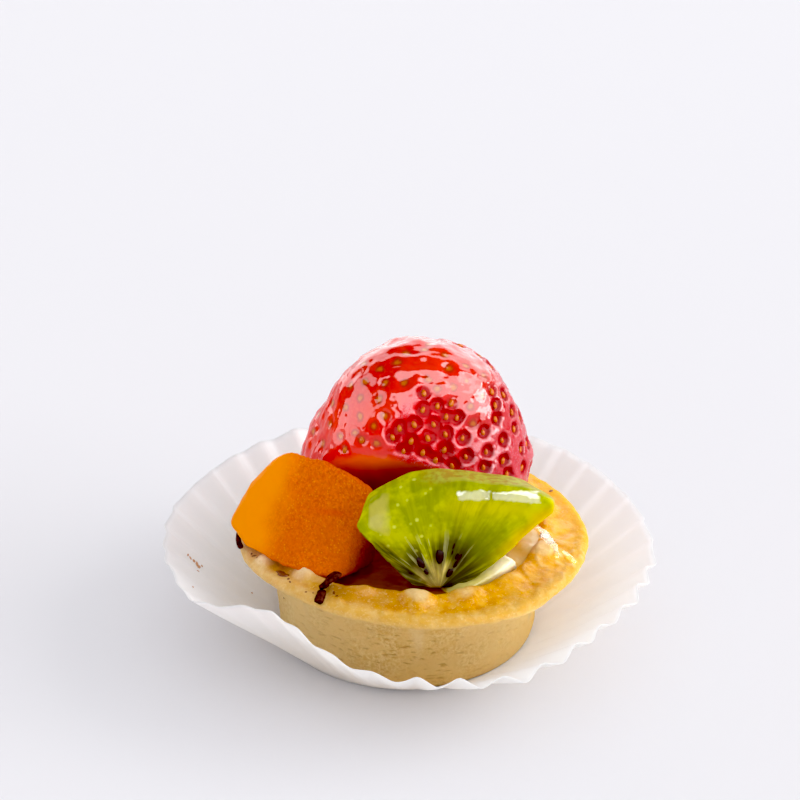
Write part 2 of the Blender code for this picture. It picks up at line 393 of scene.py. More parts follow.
# %% Lay the rings on a pleated cone
points = read_points(paper)
x, y, z = points.T
reach = np.hypot(x, y)
angle = np.arctan2(y, x)
share = np.clip((reach - PAPER_BASE) / PAPER_ROWS, 0, 1)
round_the_rim = np.stack([np.cos(angle), np.sin(angle), np.zeros_like(angle)], axis=1)
pleat = np.round(angle / math.tau * PLEATS)
pleat_seed = np.stack([pleat * 3.7, np.zeros_like(pleat), np.zeros_like(pleat)], axis=1)
uneven = bumps(pleat_seed, 1, 3)
sway = layered(round_the_rim, (0.5, 0.09, 5), (0.5, 0.25, 6))
turn = PLEATS * angle + layered(round_the_rim, (0.55, 0.2, 7), (0.25 * share, 0.08, 8))
wave = np.arcsin(SHARPNESS * np.sin(turn)) / math.asin(SHARPNESS)
pressed = 1 - spread_over(np.degrees(angle), PAPER_PRESSED, 0)
fold = PAPER_FOLD * share * (1 + 0.4 * uneven) * pressed
slope = np.radians(spread_over(np.degrees(angle), PAPER_LEANS, PAPER_SLOPE) + 2.2 * sway * share)
along = PAPER_WALL * share * (1 + 0.012 * bumps(round_the_rim, 0.12, 9))
bend = 0.9 * share * (1 - share)
height = along * np.sin(slope) - wave * fold * np.cos(slope) - bend * np.cos(slope)
wide = PAPER_BASE + along * np.cos(slope) + (wave * fold + bend) * np.sin(slope)
wide = np.where(share > 0, wide, reach)
crumple = 0.05 * bumps(points, 2.5, 11) * share + 0.1 * bumps(points, 7, 12) * share
x[:] = PAPER_CENTRE[0] + (wide + crumple) * np.cos(angle)
y[:] = PAPER_CENTRE[1] + (wide + crumple) * np.sin(angle)
z[:] = np.maximum(height + crumple, 0)
write_points(paper, points)
apply_modifier(paper, "SOLIDIFY", thickness=PAPER_THICK * MM, offset=1)
print("paper rim height", round(float(height.max()), 1), "mm")

# %% [markdown]
# Greaseproof paper is matt and lets much of the light through, so it is nearly as bright as the
# floor that it stands on, and the pastry tints it. It could be a solid that scatters light
# inside, but a sheet this thin has no depth for that. So a matt shader is mixed with one that
# passes light, a little over half of it, and faint fibres keep it from looking like plastic.

# %% Paper finish
look = Look("Paper_White", Base_Color=(0.955, 0.957, 0.962), Roughness=0.6)
look.set(Normal=look.bump(look.noise(look.place(), 0.35, 4, 0.7), 0.015, 0.4))
through = look.node("BsdfTranslucent", {"Color": (0.972, 0.968, 0.962)})
both = look.node("MixShader", {0: 0.58, 1: look.shader.outputs[0], 2: through.outputs[0]})
look.join(both.outputs[0], look.nodes["Material Output"].inputs["Surface"])
finish_piece(paper, look, "paper", "paper_case")

# %% [markdown]
# ## The pastry shell
# The shell is shortcrust pressed in a tin: a low cup with a brim over the tin's edge, and rounded
# lumps round the mouth. It could be sculpted, but a tin is round, so a circle is extruded along
# its profile, ring by ring, and smoothed. Dough is never regular, so the lumps, the uneven brim,
# wide at the left and right front, and the crumbly skin are then pushed in with hills and noise.

# %% Turn the cup
SHELL_PROFILE = (
    (13.5, 0.2), (16.6, 0.2), (17.9, 0.55), (18.5, 1.4),
    *((18.75 + 0.085 * (high - 2.6), high) for high in [2.6 + 0.62 * step for step in range(19)]),
    (19.85, 14.4), (20.4, 15), (21.4, 15.2), (23.2, 15.15), (24.6, 15.15),
    (25.3, 15.4), (25.55, 15.95), (25.4, 16.5), (24.8, 16.85), (23.8, 16.95), (22.8, 17.05),
    (21.9, 17.3), (21, 17.6), (20.2, 17.75), (19.5, 17.65), (18.95, 17.2), (18.75, 16.3),
    (18.5, 14), (17.5, 6.5), (16.6, 4.2), (14, 3.5),
)
shell = turned("Pastry_Shell", SHELL_PROFILE, 120, inset=5)
apply_modifier(shell, "SUBSURF", levels=2, render_levels=2)
print("cup of", len(shell.data.vertices), "points")

# %% Press up the beads round the mouth
BEADS = (  # azimuth, height and half width along the mouth
    (-161, 0.5, 1.8), (-140.5, 0.9, 2), (-112.5, 0.65, 2.9), (-87.5, 1, 2.9),
    (-67.5, 0.7, 2.9), (-47, 0.3, 2.6), (-21, 1.1, 3.2), (1, 0.4, 2.4),
    (16, 0.6, 2.4), (35, 0.7, 2.8), (58, 0.6, 2.7), (80, 0.7, 2.9),
    (102, 0.7, 2.8), (124, 0.8, 2.8), (146, 0.7, 2.7), (165, 0.6, 2.6), (183, 0.7, 2.8),
)
BEAD_REACH = 20.2
FAR_BEAD = (-157, 23.4)  # the one lump that lies out on the brim: azimuth and reach

points = read_points(shell)
x, y, z = points.T
reach = np.hypot(x, y)
angle = np.arctan2(y, x)
degrees = np.degrees(angle)
at_mouth = rise(reach, 18.6, 19.2)
on_top = rise(z, 16.3, 16.9) * at_mouth
bead = np.zeros_like(reach)
outward = np.where(reach > BEAD_REACH, 3, 1.9)
for azimuth, tall, wide in BEADS:
    along = np.radians(apart(degrees, azimuth)) * BEAD_REACH
    shape = np.clip(1 - (along / wide) ** 2 - ((reach - BEAD_REACH) / outward) ** 2, 0, None)
    bead = np.maximum(bead, tall * shape**1.25)
far_along = (degrees - FAR_BEAD[0]) * math.radians(FAR_BEAD[1])
far = np.hypot(far_along / 1.6, (reach - FAR_BEAD[1]) / 1.7)
bead = np.maximum(bead, 0.95 * np.clip(1 - far**2, 0, None) ** 1.2)
print("tallest bead", round(float(bead.max()), 2), "mm")

# %% Roughen the brim
dry_side = hill(apart(degrees, -163), 33)
crumbly = hill(apart(degrees, -22), 20) * rise(reach, 19.5, 20.5)
lumps = layered(points, (0.2, 3.4, 21), (0.14, 1.2, 23))
crumbs = 0.3 * np.clip(bumps(points, 0.95, 24) + 0.1, 0, None) + 0.1 * bumps(points, 0.5, 28)
waver = 0.22 * np.sin(3 * angle + 0.6) + 0.16 * np.sin(7 * angle + 2)
stretched = 0.85 * hill(apart(degrees, -155), 48) + 0.35 * hill(degrees, 40)
stretched -= 0.35 * hill(degrees + 88, 28)
droop = 0.3 * bumps(np.stack([np.cos(angle), np.sin(angle), 0 * angle], axis=1), 0.33, 22)
troughs = 0.22 * hill(reach - 21.8, 1.2) * (1 - np.clip(bead / 0.5, 0, 1))
z += on_top * (bead - troughs + lumps + (0.15 + 0.85 * crumbly) * crumbs)
z += rise(reach, 21.5, 24.5) * droop
ragged = layered(points, (0.16, 2.2, 29), (0.09, 0.9, 34))
lopsided = 1.4 * hill(degrees + 45, 36) - 2.1 * hill(degrees + 131, 31)
lopsided -= 0.9 * hill(degrees + 103, 12)
mouth_in = 1.4 * hill(degrees + 101, 13) * rise(z, 15.3, 16.3) * fall(reach, 21, 24)
shift = rise(reach, 21, 25) * (waver + stretched + ragged)
shift += rise(reach, 19.6, 25) * lopsided - mouth_in
points[:, :2] *= (1 + shift / reach.clip(1))[:, None]
print("brim drawn out by up to", round(float(shift.max()), 1), "mm")

# %% Crack and bulge the wall
wall = rise(z, 1, 2.5) * fall(z, 13.5, 15) * (reach > 18)
skin = layered(points, (0.06, 4.5, 25, (1, 1, 0.6)), (0.06, 0.9, 26))
level = layered(points, (1, 0.62, 27, (2.2, 2.2, 0.42)), (0.3, 5, 30))
cracks = rise(level + 0.1 * hill(z - 7.5, 5.5), 0.46, 0.64)
points[:, :2] *= (1 + wall * (skin - 0.19 * cracks) / reach.clip(1))[:, None]
bulge = hill(apart(degrees, -176), 38)
points[:, :2] *= (1 + wall * bulge / reach.clip(1))[:, None]
write_points(shell, points)
print("points in cracks:", int((cracks * wall > 0.5).sum()))


# %% Where the shell is glazed, pale, cracked, or painted with light and shade
def pooled(azimuth, spread, mouth, lip):
    """Amber glaze that gathered at an azimuth, from the mouth's side to the lip's."""
    return upper * hill(degrees - azimuth, spread) * rise(reach, *mouth) * fall(reach, *lip)


upper = rise(z, 15.8, 16.5)
# glaze pooled near the peach; it is also painted darker there as the peach's shade
stained = pooled(-113, 17, (18.6, 19.4), (22.2, 24))
second_pool = pooled(-150, 7, (18.7, 19.2), (23.4, 24.8))
third_pool = pooled(-131, 5, (20.9, 21.6), (23, 24))
pool = rise(z, 16.1, 16.6) * at_mouth * fall(reach, 23, 24.6)
patchy = rise(layered(points, (1, 2.6, 31), (0.7, 0.9, 32)), -0.65, 0.25)
bare_tops = rise(bead + 0.15 * bumps(points, 1.4, 33), 0.42, 0.85)
bare_tops *= 1 - 0.8 * hill(degrees + 113, 12)
glaze = np.maximum(0.9 * stained, pool * (0.3 + 0.7 * patchy))
glaze *= (1 - 0.55 * bare_tops) * (1 - 0.75 * dry_side)
glaze = np.maximum(glaze, np.maximum(0.95 * second_pool, 0.85 * third_pool))
brim = rise(z, 15.2, 16.2) * at_mouth
dry = brim * dry_side * (1 - stained) * (1 - second_pool) * (1 - third_pool)
dry *= (1 - 0.3 * patchy) * (0.45 + 0.55 * rise(bead, 0.03, 0.3))
write_values(
    shell,
    glaze=glaze * (1 - 0.55 * crumbly * rise(crumbs, 0.02, 0.2)),
    pale=np.maximum(bare_tops, crumbly * rise(crumbs, 0.05, 0.25)),
    dry=dry * (1 - 0.3 * rise(reach, 23.2, 24.4)),
    # painted light: the wall is lighter at the right and the left
    fair=np.maximum(0.55 * hill(apart(degrees, -150), 38), hill(degrees + 15, 42)),
    golden=hill(degrees - 22, 52),
    brim=brim,
    # the pool near the peach: real glaze, painted darker as shade
    stained=stained * (1 - 0.6 * bare_tops),
    cracks=cracks * wall,
    foot=fall(z, 0.5, 5),
    lower_lip=rise(z, 14.9, 15.3) * fall(z, 15.9, 16.6),
)
print("glaze on", int((glaze > 0.5).sum()), "points of the pastry")

# %% [markdown]
# Baked shortcrust is a pale, mottled tan with a sandy grain and short level cracks, more golden
# at the foot. The brim wears clear glaze, amber where it pooled between the beads, and the beads'
# tops are cream. Noise alone could mottle it, but then glaze would lie on the tops too. So each
# finish is a mask worked out from the model, and follows the shape. Two masks paint light and
# shade: the wall is painted lighter at the right and the left, and the amber pool near the
# peach is painted darker as its shade.

# %% Pastry finish
look = Look(
    "Baked_Pastry", Roughness=0.6, Coat_Roughness=0.08, Coat_IOR=1.45,
    Subsurface_Weight=0.15, Subsurface_Radius=(1, 0.5, 0.2), Subsurface_Scale=1.2 * MM,
)
where = look.place()
grain = look.noise(where, 0.45, 5, 0.65)
flecks = look.patches(look.place(stretch=(1.8, 1.8, 0.5)), 0.4, 3, 0.6, 0.7, 0.6)
speck = look.noise(where, 0.36, 4, 0.7)
sandy = look.paint(
    look.blend(look.step(grain, 0.34, 0.66), (0.63, 0.375, 0.1), (0.81, 0.59, 0.265)),
    (0.3, look.patches(where, 2, 3, 0.48, 0.62), (0.68, 0.39, 0.085)),
    (1, look.patches(where, 5, 2, 0.35, 0.65), (0.75, 0.49, 0.18)),
    (0.25, flecks, (0.58, 0.34, 0.085)),
    (0.75, "cracks", (0.5, 0.28, 0.06)),
    (0.5, "foot", (0.94, 0.57, 0.16)),
    # painted light on the wall's right and left sides
    (0.95, "fair", (0.99, 0.77, 0.4)),
)
lip = look.blend(look.patches(where, 1.6, 3, 0.35, 0.7), (0.69, 0.385, 0.06), (0.75, 0.485, 0.15))
amber = look.blend(look.patches(where, 1.4, 3, 0.3, 0.7), (0.72, 0.36, 0.004), (0.58, 0.235, 0.002))
base = look.paint(
    sandy,
    (1, "brim", look.paint(lip, (0.6, "lower_lip", (0.74, 0.47, 0.15)))),
    (0.75, "golden", (0.95, 0.5, 0.022)),
    (1, "glaze", look.paint(amber, (0.8, "golden", (0.95, 0.47, 0.003)))),
    # painted shade: the amber pool near the peach is darker
    (0.75, "stained", (0.5, 0.215, 0.008)),
    (0.75, "pale", (0.82, 0.6, 0.29)),
    (0.88, "dry", (0.98, 0.765, 0.56)),
    (0.3, look.times(look.step(speck, 0.54, 0.68), "brim"), (0.95, 0.76, 0.42)),
    (0.3, look.times(look.step(speck, 0.34, 0.46, 1, 0), "brim"), (0.66, 0.33, 0.045)),
)
rough = look.bump(look.times(grain, look.step("glaze", 0, 0.6, 1, 0.5)), 0.2, 0.8)
rough = look.bump(look.times(flecks, -1), 0.06, 0.8, rough)
look.set(Base_Color=base, Normal=rough, Coat_Weight=look.times("glaze", 0.3))
look.set(Coat_Normal=look.bump(look.noise(where, 0.9, 3), 0.22, 0.8))
finish_piece(shell, look, "pastry", "tart_shell")

# %% [markdown]
# ## The custard
# The custard fills the cup to just under the beads. Fruit hides most of it, but at the right a
# roll of cream shows between the kiwi and the mouth. The roll could be a piece of its own, but it
# was spread on and has no edge. So one turned disc gives both, and the roll is raised on it as a
# long hill.

# %% Fill the cup with custard
CUSTARD_TOP = 15.8
ROLL_START = np.array((6.3, -15.9))
ROLL_WAY = np.array((0.812, 0.583))
ROLL_LENGTH = 10.2
CUSTARD_PROFILE = (
    (13, 3.85), (16, 3.9), (17.2, 6.5), (18, 12.5), (18.2, 14.4), (18, 15.4),
    *((17.7 - 0.5 * step, CUSTARD_TOP) for step in range(34)),
)

custard = turned("Custard_Filling", CUSTARD_PROFILE, 120)
apply_modifier(custard, "SUBSURF", levels=1, render_levels=1)
points = read_points(custard)
x, y, z = points.T
reach = np.hypot(x, y)
azimuth = np.degrees(np.arctan2(y, x))
on_top = rise(z, 14.9, 15.6)
along = (points[:, :2] - ROLL_START) @ ROLL_WAY
aside = (points[:, :2] - ROLL_START) @ np.array((-ROLL_WAY[1], ROLL_WAY[0]))
ends = rise(along, -1.2, 0.8)
ends *= fall(along + 0.5 * bumps(points, 1.1, 43), ROLL_LENGTH - 1, ROLL_LENGTH + 0.5)
roll = np.clip(1 - (aside / 2.1) ** 2, 0, None) ** 0.6 * ends
roll_height = 1.4 + 2 * np.clip(along / ROLL_LENGTH, 0, 1)
brimful = rise(reach, 12.5, 16.5) * fall(np.abs(azimuth - 12), 30, 55)
soft = layered(points, (0.26, 3, 41), (0.18, 1.1, 42), (0.1, 0.6, 45))
z += on_top * (np.maximum(roll_height * roll, 1.9 * brimful) + soft)
points[:, :2] *= (1 + (0.045 + 0.05 * brimful) * on_top * rise(reach, 16, 18))[:, None]
write_points(custard, points)
across, down = seen_at(points)
second_lump = on_top * hill(np.hypot((across - 531) / 11, (down - 541) / 13), 1)
on_roll = rise(roll, 0.05, 0.3)
write_values(
    custard,
    clear_end=fall(along + bumps(points, 1.5, 44), 3, 8.5),
    cream=on_top * np.maximum(on_roll, brimful),
    tan=on_top * brimful * (1 - on_roll) * (1 - 0.35 * rise(second_lump, 0.25, 0.7)),
    # dark red between and under the fruit: painted shade and a painted red reflection
    juice=on_top * np.maximum(fall(along, -1.5, -0.3), fall(reach, 8, 12)),
)
print("custard surface at", CUSTARD_TOP, "mm")

# %% Custard finish
look = Look(
    "Custard_Cream", Roughness=0.3, Coat_Weight=0.5, Coat_Roughness=0.06, Coat_IOR=1.45,
    Subsurface_Weight=0.35, Subsurface_Radius=(1, 0.8, 0.4), Subsurface_Scale=1.5 * MM,
)
where = look.place()
cream = look.blend("clear_end", (0.96, 0.9, 0.66), (0.72, 0.62, 0.17))
cream = look.blend("tan", cream, (0.8, 0.44, 0.022))
# painted shade, tinted red as a painted reflection of the strawberry
juice = look.blend(look.noise(where, 2.2, 2), (0.2, 0.048, 0.004), (0.36, 0.1, 0.004))
base = look.blend(look.noise(where, 2.5, 3), (0.8, 0.48, 0.05), (0.86, 0.58, 0.1))
base = look.blend(look.step("cream", 0.25, 0.75), base, cream)
base = look.blend(look.step("juice", 0.3, 0.7), base, juice)
look.set(Base_Color=base, Normal=look.bump(look.noise(where, 0.8, 3), 0.08, 0.6))
finish_piece(custard, look, "custard", "custard")

# %% [markdown]
# ## The strawberry
# A broad berry whose hull end is cut off flat, with the cut facing the front. The eye goes to it,
# so its pits and seeds are real shapes. A globe's points crowd at its poles, so a cube is
# subdivided and cast to a ball, which spreads them evenly, and drawn out to the berry. A bisect
# would cut it, but with a hard edge. Instead, what stands beyond the cut's plane is pushed back
# onto it, which leaves a soft edge as the glaze does.

# %% Shape the berry
BERRY_CENTRE = np.array((0.9, 7, 25.6))
BERRY_RADII = np.array((17.4, 12.5, 19.3))
BERRY_TAPER = 0.09
BERRY_SWAY = 0.8
BERRY_CUTS = 127
CUT_POINT = np.array((-5.75, -2.5, 29.7))
CUT_FACING = np.array((-0.192, -0.831, -0.523)) / np.linalg.norm((-0.192, -0.831, -0.523))
CROWN_POINT, CROWN_FACING = (4.9, 0, 44.8), (0.49, 0, 0.872)  # the flattened top
FRUIT_FOOT = 16.15

deselect()
bpy.ops.mesh.primitive_cube_add(size=2)
berry = named("Strawberry")
edit_all()
bpy.ops.mesh.subdivide(number_cuts=BERRY_CUTS)
leave_edit()
apply_modifier(berry, "CAST", factor=1, cast_type="SPHERE", radius=1)
ball = read_points(berry) * MM
ball /= np.linalg.norm(ball, axis=1)[:, None]


def berry_surface(direction):
    """Points of the plain berry, before any cut, for directions from its middle."""
    x, y, z = direction.T
    around = np.arctan2(y, x)
    level = np.hypot(x, y)
    lump = 1 + 0.012 * level * (np.sin(3 * around + 2 * z) + np.sin(5 * around - 3 * z))
    draw_in = 1 - BERRY_TAPER * np.sin(math.pi * np.clip(z, 0, 1))
    unit = np.stack([x * draw_in, y * draw_in, z], axis=1) * lump[:, None]
    placed = BERRY_CENTRE + BERRY_RADII * unit
    placed[:, 0] += BERRY_SWAY * z
    return placed


def press_back(points, through, facing, softness, share=1):
    """Pushes what stands beyond a plane softly back onto it; also gives how far beyond it was."""
    beyond = (points - np.array(through)) @ np.array(facing)
    push = share * softness * np.logaddexp(0, beyond / softness)
    return points - push[:, None] * np.array(facing), beyond


def berry_outward(points):
    away = (points - BERRY_CENTRE) / BERRY_RADII**2
    return away / np.linalg.norm(away, axis=1)[:, None]


write_points(berry, berry_surface(ball))
print("ball of", len(ball), "points")

# %% [markdown]
# Each seed lies in a pit. They could all be scattered by chance, but the eye soon finds a gap or
# a pair. So those that the photograph shows are placed through the camera, with a number for how
# bare the pit is: 1 where it is open, 0 where thick glaze has filled it. The rest of the berry
# gets seeds in a spiral by the golden angle, like a sunflower's.

# %% Place the seeds that show
SEEN_SEEDS = (  # across, down, bareness
    (406, 352, 0.1), (424, 348, 0.1), (397, 362, 0.05), (385, 383, 0.15), (404, 382, 0.25),
    (379, 399, 0.15), (384, 416, 0.15), (374, 426, 0.15), (376, 445, 0.2), (365, 382, 0),
    (360, 398, 0), (360, 417, 0), (355, 433, 0.1), (361, 440, 0.35), (340, 437, 0.2),
    (344, 450, 0.3), (380, 369, 0), (446, 353, 0.1), (449, 368, 0.1), (467, 364, 0.2),
    (428, 379, 0.15), (437, 388, 0.15), (453, 387, 0.1), (467, 381, 0.1), (484, 374, 0.1),
    (424, 392, 0.75), (483, 396, 0.1), (423, 409, 0.9), (438, 405, 0.9), (452, 402, 0.35),
    (414, 424, 1), (399, 428, 1), (434, 424, 1), (392, 437, 0.9), (411, 441, 1),
    (428, 438, 1), (403, 452, 1), (423, 453, 1), (436, 461, 1), (445, 450, 1),
    (446, 434, 1), (458, 417, 0.95), (447, 416, 0.9), (464, 438, 1), (467, 457, 1),
    (453, 467, 1), (485, 432, 0.85), (488, 452, 0.9), (497, 404, 0.7), (493, 390, 0.5),
    (498, 418, 0.75), (505, 440, 0.9), (516, 428, 0.9), (505, 461, 1), (509, 475, 1),
    (485, 468, 1), (523, 449, 1), (525, 468, 1), (513, 411, 0.8), (505, 393, 0.7),
    (471, 406, 0.05), (474, 423, 0.2), (345, 407, 0), (330, 424, 0), (322, 444, 0.1),
    (350, 385, 0), (331, 403, 0), (313, 431, 0), (364, 364, 0), (430, 342, 0.1),
)
plain_berry = surface_of(berry)
seeds_here = []  # place and bareness
for across, down, bareness in SEEN_SEEDS:
    place, _ = spot(plain_berry, across, down)
    if place is not None:
        seeds_here.append((place / MM, bareness))
print("seeds placed through the camera:", len(seeds_here))

# %% Carry the seeds round the berry in a spiral
SPIRAL_SEEDS = 330
SEED_GAP = 2.2
GOLDEN = math.pi * (3 - math.sqrt(5))
random.seed(7)

heights = 1 - 2 * (np.arange(SPIRAL_SEEDS) + 0.5) / SPIRAL_SEEDS
turns = np.arange(SPIRAL_SEEDS) * GOLDEN
rings = np.sqrt(1 - heights**2)
spiral = np.stack([rings * np.cos(turns), rings * np.sin(turns), heights], axis=1)
spiral += np.array([[random.uniform(-1, 1) for _ in range(3)] for _ in spiral]) * 0.025
spiral = berry_surface(spiral / np.linalg.norm(spiral, axis=1)[:, None])
to_camera = np.array(CAMERA_PLACE / MM) - spiral
to_camera /= np.linalg.norm(to_camera, axis=1)[:, None]
hidden = (berry_outward(spiral) * to_camera).sum(axis=1) < 0.12
for place in spiral[hidden & (spiral[:, 2] > FRUIT_FOOT + 0.8)]:
    if min((Vector(place) - other).length for other, _ in seeds_here) > SEED_GAP:
        bareness = min(1, max(0.05, 0.55 + place[0] / 22 + (30 - place[2]) / 30))
        seeds_here.append((Vector(place), bareness))
seeds_here = [
    (place, bareness) for place, bareness in seeds_here
    if (place - Vector(CUT_POINT)).dot(Vector(CUT_FACING)) < -0.5
]
seed_bareness = np.array([bareness for _, bareness in seeds_here])
tree = KDTree(len(seeds_here))
for index, (place, _) in enumerate(seeds_here):
    tree.insert(place, index)
tree.balance()
print("seeds on the berry:", len(seeds_here))

# %% Press the pits
points = berry_surface(ball)
x, y, z = points.T
near = [tree.find_n(Vector(place), 3) for place in points]
to_seed = np.array([found[0][2] for found in near])
shares = np.array([[1 / (1.2 + found[2]) ** 4 for found in trio] for trio in near])
bare = np.array([[seed_bareness[found[1]] for found in trio] for trio in near])
bare = (shares * bare).sum(axis=1) / shares.sum(axis=1)
whole = fall((points - CUT_POINT) @ CUT_FACING, -1, -0.1)
pit_edge = to_seed + 0.22 * bumps(points, 1.1, 63)
pit_edge -= 0.2 * rise(bare, 0.75, 1) * fall(x, 6, 10)
open_pit = fall(pit_edge, 0.72, 1.42)
calm = 1 - 0.7 * hill(x + 8.5, 3.5) * rise(z, 26, 29)
left, along_z = fall(x, -13.5, -8.5), (1, 1, 3.4)
crown, along_x = rise(z, 37, 42), (1.8, 1, 1)
ridges = left * layered(points, (0.34, 2.1, 53, along_z), (0.16, 0.8, 57, along_z))
ridges += crown * layered(points, (0.26, 1.5, 59, along_x), (0.1, 0.7, 60, along_x))
lift = 0.25 * bumps(points, 7, 54) + layered(points, (0.21, 2.8, 51), (0.08, 1.3, 52)) * calm
lift += ridges + 0.13 * bare * rise(to_seed, 0.9, 1.5) * bumps(points, 0.5, 56)
lift -= whole * (0.1 * hill(to_seed, 1) * (1 - bare) * calm + 0.55 * open_pit * bare)
points = points + berry_outward(points) * lift[:, None]
print("deepest pit", round(float(-lift.min()), 2), "mm")

# %% Press the cut, the crown and the foot
points, beyond = press_back(points, CUT_POINT, CUT_FACING, 1.1)
points, _ = press_back(points, CROWN_POINT, CROWN_FACING, 0.5)
dents = rise(beyond, -0.3, 0.8) * 0.18 * bumps(points, 4, 55)
points += dents[:, None] * CUT_FACING
points, _ = press_back(points, (0, 0, FRUIT_FOOT), (0, 0, -1), 0.15)
write_points(berry, points)
print("points on the cut:", int((beyond > 0).sum()))

# %% Where the berry is pitted, cut, bare, or painted with shade
x, y, z = points.T
# deeper into the cut and further right: where shade on the cut is painted
uneven = beyond + 0.5 * (x + 8) + 1.2 * bumps(points, 2.5, 61)
blurred = to_seed + 0.25 * bumps(points, 0.7, 58)
write_values(
    berry,
    pit=whole * fall(pit_edge, 0.95, 1.35),
    cut=rise(beyond + 0.35 * bumps(points, 1.6, 62), -0.4, 1),
    # painted shade on the cut, maroon deep between the other fruit
    cut_deep=rise(uneven, 0.5, 9),
    bare=bare,
    # painted shade: the right side and the top are darker
    far_side=np.maximum(rise(x, 1, 14), 0.45 * rise(z, 36, 43)),
    rough_net=rise(bare, 0.6, 1) * (1 - 0.45 * rise(x, 5.5, 9.5)),
    # a painted seed in a dark ring of painted pit shade; the kernel is the seed's own colour
    seed=fall(blurred, 0.45, 0.95) * whole,
    kernel=fall(blurred, 0.2, 0.5) * whole,
)
print("masks for", len(points), "points of the berry")

# %% [markdown]
# Glazed fruit is wet red flesh under a clear coat. The glaze could be a clear mesh round the
# flesh, but the shader's own coat shines as well and never comes loose. The flesh hardly gleams,
# so the red stays deep. Open pits are painted darker, as shade in the hollows, and seeds under
# thick glaze are only painted on, each in a ring of painted shade. Pink specks on the bare net
# are painted sparkle. The right side and the top are painted darker, as shade. The cut is
# orange-red near the skin and painted nearly maroon, as shade, deep between the other fruit.

# %% Strawberry finish
look = Look(
    "Glazed_Strawberry", Roughness=0.4, Coat_Roughness=0.015, Coat_IOR=1.5,
    Subsurface_Weight=0.25, Subsurface_Radius=(1, 0.12, 0.05), Subsurface_Scale=1.6 * MM,
)
where = look.place()
fine = look.noise(where, 0.6, 4)
sparkle = look.patches(where, 0.28, 3, 0.52, 0.66, 0.7)
deep = look.times("pit", look.step("bare", 0.2, 0.7))
thick = look.step("bare", 0.25, 0.6, 1, 0)
base = look.paint(
    look.blend(look.patches(where, 5, 2, 0.35, 0.65), (0.8, 0.01, 0.002), (0.88, 0.034, 0.003)),
    (0.35, look.step(fine, 0.45, 0.7), (0.9, 0.07, 0.012)),
    (1, "bare", (0.84, 0.013, 0.024)),
    # pink specks on the bare net: painted sparkle highlights
    (0.65, look.times(sparkle, "rough_net"), (0.88, 0.2, 0.26)),
    # open pits painted darker: painted shade in the hollows
    (1, deep, (0.52, 0.003, 0.006)),
    # dark ring round each painted seed: painted shade of its pit
    (0.75, look.times("seed", thick), (0.42, 0.032, 0.002)),
    (0.8, look.times("kernel", thick), (0.74, 0.22, 0.01)),
)
# painted shade darkens the right side and the top
base = look.blend(look.times("far_side", 0.9), base, (0.56, 0.55, 0.8), "MULTIPLY")
# the cut: orange-red near the skin, painted maroon as shade deeper in
base = look.blend("cut", base, look.blend("cut_deep", (1, 0.17, 0.003), (0.44, 0.003, 0.001)))
look.set(Base_Color=base, Normal=look.bump(fine, 0.05, 0.5))
grainy = look.bump(sparkle, 0.09, look.times("rough_net", 0.6))
look.set(Coat_Weight=look.step(deep, 0.1, 0.8, 1, 0.1), Coat_Normal=grainy)
finish_piece(berry, look, "strawberry", "strawberry")


# %% Seed the pits
BARE_ENOUGH = 0.28  # under thicker glaze a seed is only painted on


def small_ball():
    """The corners of a ball of radius 1, and its faces."""
    deselect()
    bpy.ops.mesh.primitive_ico_sphere_add(subdivisions=2, radius=1)
    item = named("Small_Ball")
    corners, faces = read_points(item) * MM, [tuple(face.vertices) for face in item.data.polygons]
    bpy.data.objects.remove(item)
    return corners, faces


def join_shapes(name, shapes):
    """One mesh from many small ones, each a list of points in millimetres and a list of faces."""
    corners, faces = [], []
    for shape_points, shape_faces in shapes:
        start = len(corners)
        corners += [Vector(corner) * MM for corner in shape_points]
        faces += [tuple(index + start for index in face) for face in shape_faces]
    mesh = bpy.data.meshes.new(name)
    mesh.from_pydata(corners, [], faces)
    item = bpy.data.objects.new(name, mesh)
    bpy.context.scene.collection.objects.link(item)
    return item


one, ball_faces = small_ball()
one[:, 0] *= 1 - 0.18 * one[:, 2]
one *= np.array((0.36, 0.28, 0.55))
berry_tree = surface_of(berry)
shapes = []
tip = Vector((0, 0.35, 0.94))
for place, bare_here in seeds_here:
    away = Vector(berry_outward(np.array([place]))[0])
    hit, _, _, _ = berry_tree.ray_cast((place + away * 2) * MM, -away)
    if hit is None or bare_here < BARE_ENOUGH:
        continue
    upward = (tip - away * tip.dot(away)).normalized()
    turn = Matrix((away.cross(upward), away, upward)).transposed()
    size = random.uniform(0.78, 1.04)
    turn = Matrix.Rotation(random.uniform(-0.35, 0.35), 3, away) @ turn
    centre = hit / MM + away * (0.09 * bare_here - 0.02) - upward * 0.1
    shapes.append(([turn @ (Vector(corner) * size) + centre for corner in one], ball_faces))
seeds = join_shapes("Strawberry_Seeds", shapes)
look = two_tone(
    "Seed_Yellow", 1.2, (0.48, 0.095, 0.005), (0.72, 0.215, 0.016),
    Roughness=0.4, Coat_Weight=0.25, Coat_Roughness=0.08,
)
finish_piece(seeds, look, "strawberry")

# %% [markdown]
# ## The peach chunk
# A block of tinned peach: a smooth skin side at the left and a grainy cut side in front. It could
# be a bevelled cube, but no two of its corners are alike. So its corners are placed and wrapped
# in a hull, which is bevelled, remeshed into small faces for the grain, and relaxed, because ripe
# flesh gives at its edges.

# %% Cut the peach
PEACH_CORNERS = (
    (-27.9, -1.5, 18.5), (-23.8, -1, 26.2), (-18.5, -0.9, 32.1), (-9.3, -3.8, 29.8),
    (-4.4, -5.3, 26.7), (-25.5, -6.9, 18.5), (-17.8, -13.4, 18.2), (-10.3, -15.2, 16.6),
    (-4.9, -9.8, 16.9), (-21, 6, 19.2), (-9, 5.5, 18),
)


